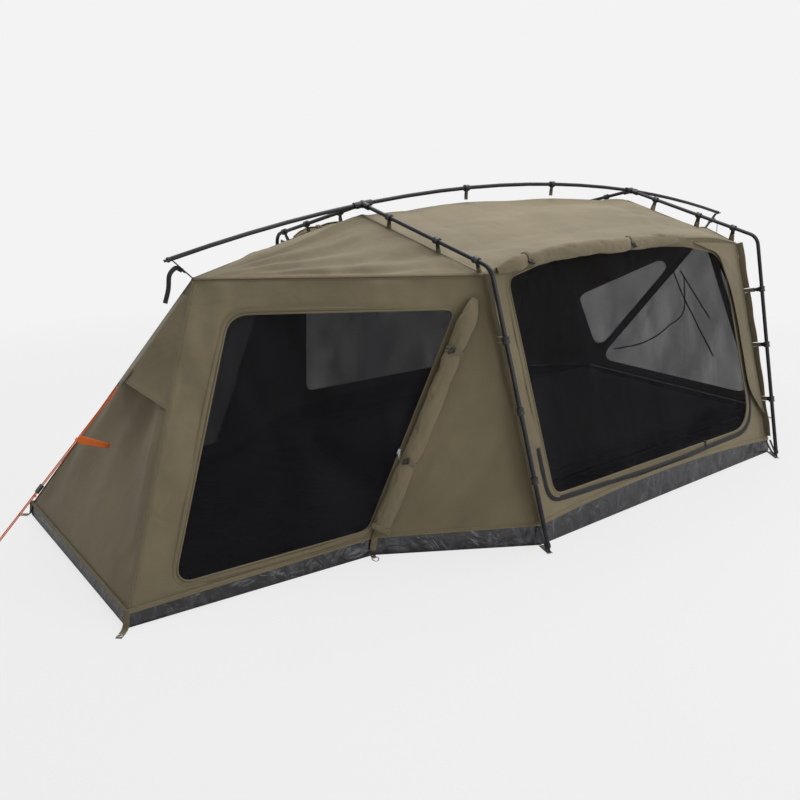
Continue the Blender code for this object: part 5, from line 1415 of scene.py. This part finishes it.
# %% Rope
peg = Vector((-1.690, 0.0, 0.018))
down = (peg - VISOR_TIP).normalized()
rope_top = VISOR_TIP + down * 0.031
ROPE_RADIUS = 0.00175
# Each strand runs this far beside the middle line, clear of the peg and the eye.
STRAND = 0.0030 / math.cos(math.pi / 10) + ROPE_RADIUS + 0.0003
route = [rope_top + down * 0.042 - ACROSS * STRAND]
for i in range(1, 24):
    route.append(rope_top.lerp(peg, 0.055 + 0.945 * i / 24) - ACROSS * STRAND)
for i in range(9):
    angle = math.pi * i / 8
    route.append(peg + (down * math.sin(angle) - ACROSS * math.cos(angle)) * STRAND)
for i in range(1, 24):
    route.append(peg.lerp(rope_top, i / 24) + ACROSS * STRAND)
for i in range(9):
    angle = math.pi * i / 8
    route.append(rope_top + (ACROSS * math.cos(angle) - down * math.sin(angle)) * STRAND)
for drop in (0.020, 0.040):
    route.append(rope_top + down * drop - ACROSS * STRAND)
rope_ups = []
for i, point in enumerate(route):
    tangent = (route[min(i + 1, len(route) - 1)] - route[max(i - 1, 0)]).normalized()
    rope_ups.append(tangent.cross(down.cross(ACROSS)).normalized().cross(tangent).normalized())
eye_centre = rope_top - down * 0.0088
eye_up = down.cross(ACROSS).normalized()
eye_line = [eye_centre + down * (math.cos(a) * 0.0088) + ACROSS * (math.sin(a) * 0.0085) for a in turns_of(28)]
sweep("visor_eye_loop", eye_line, eye_up, flat_outline(0.0055, 0.0024), khaki_webbing, closed=True)
eye_tab = [VISOR_TIP - down * (0.050 - 0.0125 * i) + eye_up * (0.0010 * math.sin(i)) for i in range(5)]
eye_tab.append(VISOR_TIP + down * 0.014)
sweep("visor_eye_tab", eye_tab, eye_up, flat_outline(0.020, 0.0024), khaki_webbing)
rope = sweep("guy_rope_cord", route, rope_ups, round_outline(ROPE_RADIUS), orange_cord)
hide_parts("guy_rope")

# %% [markdown]
# ## Mattress
# The foam mattress lies in the tub. Its cover is quilted with a piped edge, and it is seen only
# through the mesh.

# %% Mattress
quilt = webbing_material("grey_mattress_cover", "#2c2e34", "#474a52")
low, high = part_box("mattress")
bpy.ops.object.select_all(action="DESELECT")
bpy.ops.mesh.primitive_cube_add(size=1.0, location=(low + high) / 2, scale=(high - low) * 0.992)
mattress = bpy.context.object
mattress.name = "mattress_foam"
bpy.ops.object.transform_apply(location=True, rotation=True, scale=True)
edit_all(mattress)
bpy.ops.mesh.bevel(offset=0.022, segments=3, affect="EDGES")
bpy.ops.mesh.subdivide(number_cuts=9)
bpy.ops.object.mode_set(mode="OBJECT")
points = points_of(mattress)
middle = (points.max(0) + points.min(0)) / 2
half = (points.max(0) - points.min(0)) / 2
set_points(mattress, middle + (points - middle) * (1 - 0.006 / half))
# The cover is a bag blown up a little by its foam: remeshed, then let out under a gentle pressure.
only(mattress)
remesh = mattress.modifiers.new("remesh", "REMESH")
remesh.mode = "VOXEL"
remesh.voxel_size = 0.012
bpy.ops.object.modifier_apply(modifier="remesh")
before = points_of(mattress)
puff = mattress.modifiers.new("puff", "CLOTH")
puff.settings.use_pressure = True
puff.settings.uniform_pressure_force = 4.0
puff.settings.quality = 4
puff.settings.mass = 0.3
puff.settings.effector_weights.gravity = 0.0
for k in range(1, 15):
    bpy.context.scene.frame_set(k)
bpy.ops.object.modifier_apply(modifier="puff")
step = points_of(mattress) - before
span = np.linalg.norm(step, axis=1, keepdims=True)
set_points(mattress, before + step * np.minimum(1.0, 0.009 / np.maximum(span, 1e-9)))
bpy.context.scene.frame_set(1)
points = points_of(mattress)
u = (points - middle) / half
dimple = np.zeros(len(points))
for k in range(-4, 5):
    dimple += 0.005 * np.exp(-(((points[:, 0] - middle[0]) - k * 0.20) / 0.012) ** 2)
points[:, 2] -= np.where(u[:, 2] > 0.5, dimple, 0.0)
edge_low, edge_high = np.array(low) + 0.0004, np.array(high) - 0.0004
set_points(mattress, np.clip(points, edge_low, edge_high))
map_in_metres(mattress, (1, 0, 0), (0, 1, 0.3))
only(mattress)
bpy.ops.object.shade_smooth_by_angle(angle=math.radians(60))
mattress.data.materials.append(quilt)
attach(mattress, "tent")
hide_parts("mattress")
for k, height in enumerate((low.z + 0.010, high.z - 0.016)):
    loop = []
    for turn, (sx, sy) in enumerate(((1, -1), (1, 1), (-1, 1), (-1, -1))):
        x = (low.x + high.x) / 2 + sx * ((high.x - low.x) / 2 - 0.030)
        y = (low.y + high.y) / 2 + sy * ((high.y - low.y) / 2 - 0.030)
        for i in range(7):
            a = math.radians(-90 + 90 * turn + 15 * i)
            loop.append(Vector((x + 0.026 * math.cos(a), y + 0.026 * math.sin(a), height)))
    sweep("mattress_piping_%d" % k, loop, UP, round_outline(0.0030, 8), black_webbing, closed=True)
print("mattress", [round(c, 3) for c in points.min(0)], [round(c, 3) for c in points.max(0)])

# %% [markdown]
# ## Flaps beside the hoops
# A canvas strip is sewn into the seam below each hoop, and the clips hang on it. On the rear side a
# wide weather flap starts on the roof, turns over the eave and tapers down beside the window.

# %% Hoop lines
HOOPS = {"front": (0.0, -0.100), "rear": (1.519, 0.022)}
HOOP_FOOT, HOOP_ELBOW, ELBOW_HEIGHT, CREST = 0.943, 0.705, 0.980, 1.203
TIPS = ((-0.914, 0.999), (2.342, 1.011))
CLIP_HEIGHTS = (0.730, 0.490, 0.250)
# Each length of flap stops this far short of the clips' webbing.
FLAP_GAP = 0.0085


def hoop_point(hoop, half_width, height, side):
    """A point in a hoop's leaning plane."""
    foot_x, lean = HOOPS[hoop]
    return Vector((foot_x + lean * height, side * half_width, height))


def ridge_point(x):
    """A point on the flexed ridge pole."""
    middle = (TIPS[0][0] + TIPS[1][0]) / 2
    tip_x, tip_z = TIPS[0] if x < middle else TIPS[1]
    share = (x - middle) / (tip_x - middle)
    return Vector((x, 0.0, CREST - (CREST - tip_z) * share * share))


def crown(hoop):
    """The point where a hoop's plane meets the ridge pole."""
    foot_x, lean = HOOPS[hoop]
    point = ridge_point(foot_x)
    for _ in range(4):
        point = ridge_point(foot_x + lean * point.z)
    return point


def nearest_on(line_start, line_end, point):
    """The point on a straight line that is nearest to this one."""
    along = (line_end - line_start).normalized()
    return line_start + along * (point - line_start).dot(along)


def strap(name, path, up, width, thickness, material, body="tent"):
    """A short strap along a smoothed path."""
    return sweep(name, smooth_path(path, 6), up, flat_outline(width, thickness), material, body)


def clip_body(name, pole, axis, reach):
    """The moulded barrel of a clip round the pole, and the hook that holds its webbing."""
    axis, reach = axis.normalized(), reach.normalized()
    barrel = [pole + axis * (0.012 * t) for t in (-1, -0.9, -0.55, -0.4, 0.4, 0.55, 0.9, 1)]
    sweep(name + "_barrel", barrel, reach, round_outline(0.0132, 16), moulded,
          sizes=[0.86, 1.0, 1.0, 0.9, 0.9, 1.0, 1.0, 0.86])
    hook = [pole - reach * t for t in (0.010, 0.018, 0.026, 0.031)]
    oval = [(x, y * 2.2) for x, y in round_outline(0.0036)]
    sweep(name + "_hook", hook, axis, oval, moulded, sizes=[1.5, 1.1, 1.2, 0.8])


# A tab is webbing folded double and stitched, so it is thicker than a strap.
TAB_DEPTH = 0.0062


def hang_clip(tab_name, clip_name, seat, pole, axis, steps, width):
    """A clip on its pole, and the webbing tab that ties it to its seat on the cloth."""
    reach = pole - seat
    strap(tab_name, [seat + reach * t for t in steps], axis.normalized().cross(reach).normalized(),
          width, TAB_DEPTH, khaki_webbing)
    clip_body(clip_name, pole, axis, reach)


for hoop in HOOPS:
    for side_name, side in SIDES.items():
        elbow = hoop_point(hoop, HOOP_ELBOW, ELBOW_HEIGHT, side)
        foot = hoop_point(hoop, HOOP_FOOT, 0.0, side)
        edge = seam(hoop + "_eave", hoop + "_shoulder", side, 220)
        along = (edge[-1] - edge[0]).normalized()
        cuts = (0.965, *CLIP_HEIGHTS, 0.070)
        for k, (high, low) in enumerate(zip(cuts, cuts[1:])):
            line, ups = [], []
            for p in edge:
                if not low + FLAP_GAP < p.z < high - FLAP_GAP:
                    continue
                to_pole = nearest_on(elbow, foot, p) - p
                wave = 0.0022 * math.sin(p.z * 37 + k) + 0.003 * noise.noise(p * 11)
                up = to_pole.cross(along).normalized()
                line.append(p + to_pole.normalized() * 0.0195 + up * wave)
                ups.append(up)
            sweep("flap_%s_%s_%d" % (hoop, side_name, k), line, ups, flat_outline(0.033, 0.0016), canvas)
        for k, height in enumerate(CLIP_HEIGHTS):
            share = (edge[0].z - height) / (edge[0].z - edge[-1].z)
            seat = edge[0].lerp(edge[-1], share)
            pole = nearest_on(elbow, foot, seat)
            name = "%s_%s_%d" % (hoop, side_name, k)
            hang_clip("clip_tab_" + name, "clip_" + name, seat, pole, foot - elbow, (0.05, 0.3, 0.62), 0.018)
        centre = crown(hoop)
        for k, share in enumerate(ROOF_CLIP_SHARES):
            seat = corner(hoop + "_ridge", side).lerp(corner(hoop + "_eave", side), share)
            pole = centre.lerp(elbow, abs(seat.y) / HOOP_ELBOW)
            name = "%s_%s_%d" % (hoop, side_name, k)
            hang_clip("roof_tab_" + name, "roof_clip_" + name, seat, pole, elbow - centre, (0.03, 0.25, 0.50), 0.017)
for k, x in enumerate((0.425, 0.956)):
    share = (x - BODY["front_ridge"][0]) / (BODY["rear_ridge"][0] - BODY["front_ridge"][0])
    seat = seam("front_ridge", "rear_ridge", 1, 100)[round(share * 100)]
    reach = ridge_point(x) - seat
    strap("ridge_tab_%d" % k, [seat + reach * t for t in (0.03, 0.3, 0.56)], (1, 0, 0), 0.017, TAB_DEPTH, khaki_webbing)
    clip_body("ridge_clip_%d" % k, ridge_point(x), Vector((1, 0, 0)), reach)
print("hoop flaps and clip tabs made")

# %% Weather flap behind the window
# The flap's free edge, with y as a half width.
FLAP_INNER = [(1.404, 0.303, 1.024), (1.330, 0.380, 1.006), (1.270, 0.460, 0.985), (1.215, 0.560, 0.966),
              (1.190, 0.612, 0.957), (1.270, 0.618, 0.932), (1.358, 0.626, 0.899), (1.401, 0.657, 0.792),
              (1.429, 0.696, 0.659), (1.436, 0.749, 0.483), (1.441, 0.796, 0.328), (1.486, 0.820, 0.244),
              (1.530, 0.836, 0.186)]
FLAP_ROWS = 6


def weather_flap(name, side):
    """A canvas flap from the rear seam to its own curved free edge."""
    inner = smooth_path([(x, side * y, z) for x, y, z in FLAP_INNER], 8)
    roof_part = seam("rear_ridge", "rear_eave", side, 60)[30:]
    wall_part = seam("rear_eave", "rear_shoulder", side, 60)[:52]
    outer_all = roof_part + wall_part[1:]
    rows = []
    roof_up = plane_normal(corner("rear_ridge", side), corner("rear_eave", side), corner("front_eave", side))
    wall_out = plane_normal(corner("front_eave", side), corner("rear_eave", side), corner("rear_shoulder", side))
    for i, point in enumerate(inner):
        place = i / (len(inner) - 1) * (len(outer_all) - 1)
        k = min(int(place), len(outer_all) - 2)
        outer = outer_all[k].lerp(outer_all[k + 1], place - k)
        blend = clamp((point.z - 0.90) / 0.07)
        up = (wall_out * (1 - blend) + roof_up * blend).normalized()
        row = []
        for j in range(FLAP_ROWS + 1):
            s = j / FLAP_ROWS
            flutter = noise.noise(point * 7 + Vector((0, 0, s)))
            lift = 0.004 + 0.011 * math.sin(math.pi * s * 0.72) + 0.003 * flutter
            row.append(outer.lerp(point, s) + up * lift)
        rows.append(row)
    mesh = grid_mesh(name, rows)
    if sum(face.normal.y for face in mesh.polygons) * side < 0:
        mesh.flip_normals()
    obj = add_object(name, mesh)
    edit_all(obj)
    bpy.ops.mesh.subdivide(number_cuts=1, smoothness=0.0)
    bpy.ops.object.mode_set(mode="OBJECT")
    map_in_metres(obj, (1, 0, 0), (0, side * -0.4, 0.9))
    edge_attributes(obj)
    width, length, area = flat_cut(obj)
    finish_panel(obj, canvas, CANVAS_T)


for side_name, side in SIDES.items():
    weather_flap("weather_flap_" + side_name, side)
print("weather flaps made")

# %% [markdown]
# ## Tabs, foot straps and peak straps
# Webbing tabs with steel eyelets peg the tub down. Thin straps hold the leg ends, and a wide strap
# runs down the crease to the waist ring. At each end of the ridge pole a ladder buckle tightens the
# peak, and its loose tail hangs down.

# %% Pegging tabs


def wire_ring(name, centre, up, radius, wire):
    """A steel ring lying square to a direction."""
    side = Vector(up).orthogonal().normalized()
    other = Vector(up).cross(side).normalized()
    loop = [Vector(centre) + (side * math.cos(a) + other * math.sin(a)) * radius for a in turns_of(24)]
    sweep(name, loop, up, round_outline(wire, 8), zinc, closed=True)


def tub_foot(name, side):
    """The point on the ground under a corner of the tub."""
    x, y, _ = TUB_PLAN[name]
    return Vector((x, side * y, 0.0))


for side_name, side in SIDES.items():
    for name in ("nose", "tail"):
        foot = tub_foot(name, side)
        rim = corner(name, side)
        away = Vector((math.copysign(1.0, foot.x), side, 0.0)).normalized()
        path = [rim + away * 0.004 + UP * 0.016, foot.lerp(rim, 0.5) + away * 0.0045,
                foot + away * 0.008 + UP * 0.005, foot + away * 0.024 + UP * 0.0018, foot + away * 0.052 + UP * 0.0018]
        strap("tab_%s_%s" % (name, side_name), path, (away + UP).normalized(), 0.020, 0.0022, khaki_webbing)
        wire_ring("eyelet_%s_%s" % (name, side_name), foot + away * 0.041 + UP * 0.0036, (0, 0, 1), 0.0070, 0.0016)
    for hoop in HOOPS:
        low = tub_foot(hoop + "_shoulder", side)
        pin = hoop_point(hoop, HOOP_FOOT, 0.0, side)
        top = corner(hoop + "_shoulder", side)
        away = (pin - low).normalized()
        across = away.cross(UP)
        for k, shift in enumerate((-0.010, 0.010)):
            path = [top + across * shift + away * 0.004,
                    top.lerp(pin, 0.45) + across * shift * 0.8 + away * 0.006 - UP * 0.004,
                    pin - away * 0.012 + across * shift * 0.4 + UP * 0.010]
            strap("foot_strap_%s_%s_%d" % (hoop, side_name, k), path, (away + UP).normalized(),
                  0.009, 0.0018, black_webbing)
        path = [p + UP * 0.0020 for p in (low + away * 0.002, low.lerp(pin, 0.6), pin + away * 0.004)]
        strap("foot_tab_%s_%s" % (hoop, side_name), path, UP, 0.020, 0.0020, khaki_webbing)
    eave, waist = corner("front_eave", side), corner("waist", side)
    foot = tub_foot("waist", side)
    away = Vector((-0.3, side, 0.0)).normalized()
    out = plane_normal(eave, waist, corner("front_shoulder", side))
    path = [eave.lerp(waist, 0.930) + out * 0.014, eave.lerp(waist, 0.965) + out * 0.012,
            waist + away * 0.012 + UP * 0.004, foot + away * 0.0085 + UP * 0.034, foot + away * 0.0060 + UP * 0.0230]
    strap("waist_strap_" + side_name, path, (out + away).normalized(), 0.022, 0.0022, khaki_webbing)
    path = [foot + away * 0.004 + UP * 0.003, foot + away * 0.018 + UP * 0.0022, foot + away * 0.0215 + UP * 0.0030]
    strap("waist_loop_" + side_name, path, UP, 0.018, 0.0018, khaki_webbing)
print("tabs made")

# %% Peak straps
for end, sign, (tip_x, _) in (("front", -1, TIPS[0]), ("rear", 1, TIPS[1])):
    peak = corner(end + "_peak", 1)
    out = (ridge_point(tip_x) - ridge_point(tip_x - sign * 0.05)).normalized()
    under = (-UP - out * (-UP).dot(out)).normalized()
    top = ridge_point(tip_x) - out * 0.012 + under * 0.0093
    seat = peak + Vector((sign * 0.25, 0, 1)).normalized() * 0.0012
    path = [top.lerp(seat, t) for t in (0, 0.33, 0.66, 1)]
    main = strap("peak_strap_%s_web" % end, path, (sign, 0, 0.4), 0.016, 0.0020, black_webbing)
    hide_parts("peak_strap_" + end)
    along = (seat - top).normalized()
    middle = top.lerp(seat, 0.5)
    face = along.cross(ACROSS).normalized()
    if face.x * sign < 0:
        face = -face
    for k, place in enumerate((-0.012, 0.0, 0.012)):
        rung = [middle + along * place + ACROSS * (0.0115 * s) + face * 0.0026 for s in (-1, 0, 1)]
        sweep("buckle_%s_rung_%d" % (end, k), rung, face, round_outline(0.0018, 8), moulded)
    for k, s in enumerate((-1, 1)):
        rail = [middle + along * (0.0135 * t) + ACROSS * (0.0105 * s) + face * 0.0022 for t in (-1, 0, 1)]
        sweep("buckle_%s_rail_%d" % (end, k), rail, face, round_outline(0.0022, 8), moulded)
    knee = middle + Vector((sign * 0.034, -0.004, 0.006))
    hang = knee + Vector((sign * 0.020, -0.004, -0.020))
    foot = hang + Vector((sign * 0.022, 0.002, -0.092))
    path = [middle + face * 0.004, middle.lerp(knee, 0.6) + UP * 0.004, knee, hang,
            hang.lerp(foot, 0.5) - Vector((sign * 0.004, 0, 0)), foot]
    tail = strap("peak_tail_" + end, path, (sign * 0.6, -0.8, 0.2), 0.016, 0.0020, black_webbing)
print("peak straps made")

# %% [markdown]
# ## Knots, tensioner stop and marker flag
# A guy rope is tied off with an overhand knot under the visor, and another one stops the tensioner.
# The marker ribbon hangs on the rope and flutters a little.

# %% Knots and flag


def overhand(name, centre, along, size, body):
    """A pulled-tight overhand knot: a small trefoil drawn out along the rope."""
    along = Vector(along).normalized()
    side = along.orthogonal().normalized()
    other = along.cross(side)
    loop, ups = [], []
    for a in turns_of(48):
        x = math.sin(a) + 2 * math.sin(2 * a)
        y = math.cos(a) - 2 * math.cos(2 * a)
        z = -math.sin(3 * a)
        loop.append(Vector(centre) + (side * x * 0.42 + other * y * 0.42 + along * z * 0.8) * size)
    for i in range(48):
        tangent = (loop[(i + 1) % 48] - loop[i - 1]).normalized()
        square = (along - tangent * tangent.dot(along)).normalized()
        ups.append(tangent.orthogonal() if abs(tangent.dot(along)) > 0.95 else square)
    sweep(name, loop, ups, round_outline(ROPE_RADIUS, 8), orange_cord, body, closed=True)


overhand("guy_knot", rope_top + down * 0.043 - ACROSS * STRAND, down, 0.0032, "tent")
low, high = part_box("guy_tensioner")
stop = nearest_on(rope_top, peg, (low + high) / 2) + down * 0.026
overhand("guy_stopper", stop - ACROSS * STRAND, down, 0.0030, "tensioner")

flag = add_object("marker_flag", nodes["guy_flag"].data.copy())
flag.data.materials.clear()
edit_all(flag)
bpy.ops.mesh.remove_doubles(threshold=0.00002)
bpy.ops.mesh.subdivide(number_cuts=4)
bpy.ops.object.mode_set(mode="OBJECT")
points = points_of(flag)
root = points[:, 0].min() + 0.014
share = np.clip((points[:, 0] - root) / 0.095, 0, 1)
points[:, 1] += 0.007 * share * np.sin(share * 5.2 + 0.6)
points[:, 2] -= 0.018 * share
set_points(flag, points)
map_in_metres(flag, (1, 0, 0), (0, 0, 1))
only(flag)
bpy.ops.object.shade_smooth_by_angle(angle=math.radians(50))
flag.data.materials.append(flag_ribbon)
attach(flag, "tent")
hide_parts("guy_flag")
print("knots and flag made")

# %% [markdown]
# ## Window zip
# A dark coil zip runs outside the window's binding, along its foot and up both sides. The canvas cover
# was unzipped before it was rolled up.

# %% Zip tapes
for side_name, side in SIDES.items():
    line = even_loop(border_loops("wall_main_" + side_name)[-1], 0.012)
    normals = loop_normals(line, side)
    middle = sum(line, Vector()) / len(line)
    start = max(range(len(line)), key=lambda i: line[i].z)
    order = [(start + i) % len(line) for i in range(len(line))]
    path, ups = [], []
    for i in order:
        if line[i].z > 0.36:
            continue
        away = line[i] - middle
        away = (away - normals[i] * away.dot(normals[i])).normalized()
        path.append(line[i] + away * 0.029 + normals[i] * 0.010)
        ups.append(normals[i])
    path = lay_on(path, "wall_main_%s_canvas" % side_name, 0.0012)
    path = [(path[max(i - 1, 0)] + p * 2 + path[min(i + 1, len(path) - 1)]) / 4 for i, p in enumerate(path)]
    sweep("window_zip_" + side_name, path, ups, flat_outline(0.020, 0.0022), zip_tape)
    coil = [p + n * 0.0011 for p, n in zip(path, ups)]
    oval = [(x * 1.3, y) for x, y in round_outline(0.0022, 8)]
    sweep("window_coil_" + side_name, coil, ups, oval, anodised)
print("zips made")

# %% Seams across the foot-end mesh
out = plane_normal(corner("rear_peak", 1), corner("tail", -1), corner("tail", 1))
NET_SEAMS = [
    [(2.195, 0.200, 0.753), (2.145, 0.030, 0.545), (2.075, -0.240, 0.260)],
    [(2.178, 0.095, 0.688), (2.150, -0.030, 0.573), (2.119, -0.164, 0.456)],
    [(2.052, 0.420, 0.182), (2.069, 0.211, 0.259), (2.100, 0.070, 0.378), (2.124, 0.007, 0.475),
     (2.171, 0.060, 0.658)],
]
for k, spots in enumerate(NET_SEAMS):
    line = lay_on([p + out * 0.02 for p in smooth_path(spots, 10)], "end_mesh_net", 0.0014)
    sweep("net_seam_%d" % k, line, out, flat_outline(0.008, 0.0012), zip_tape)
print("mesh seams made")
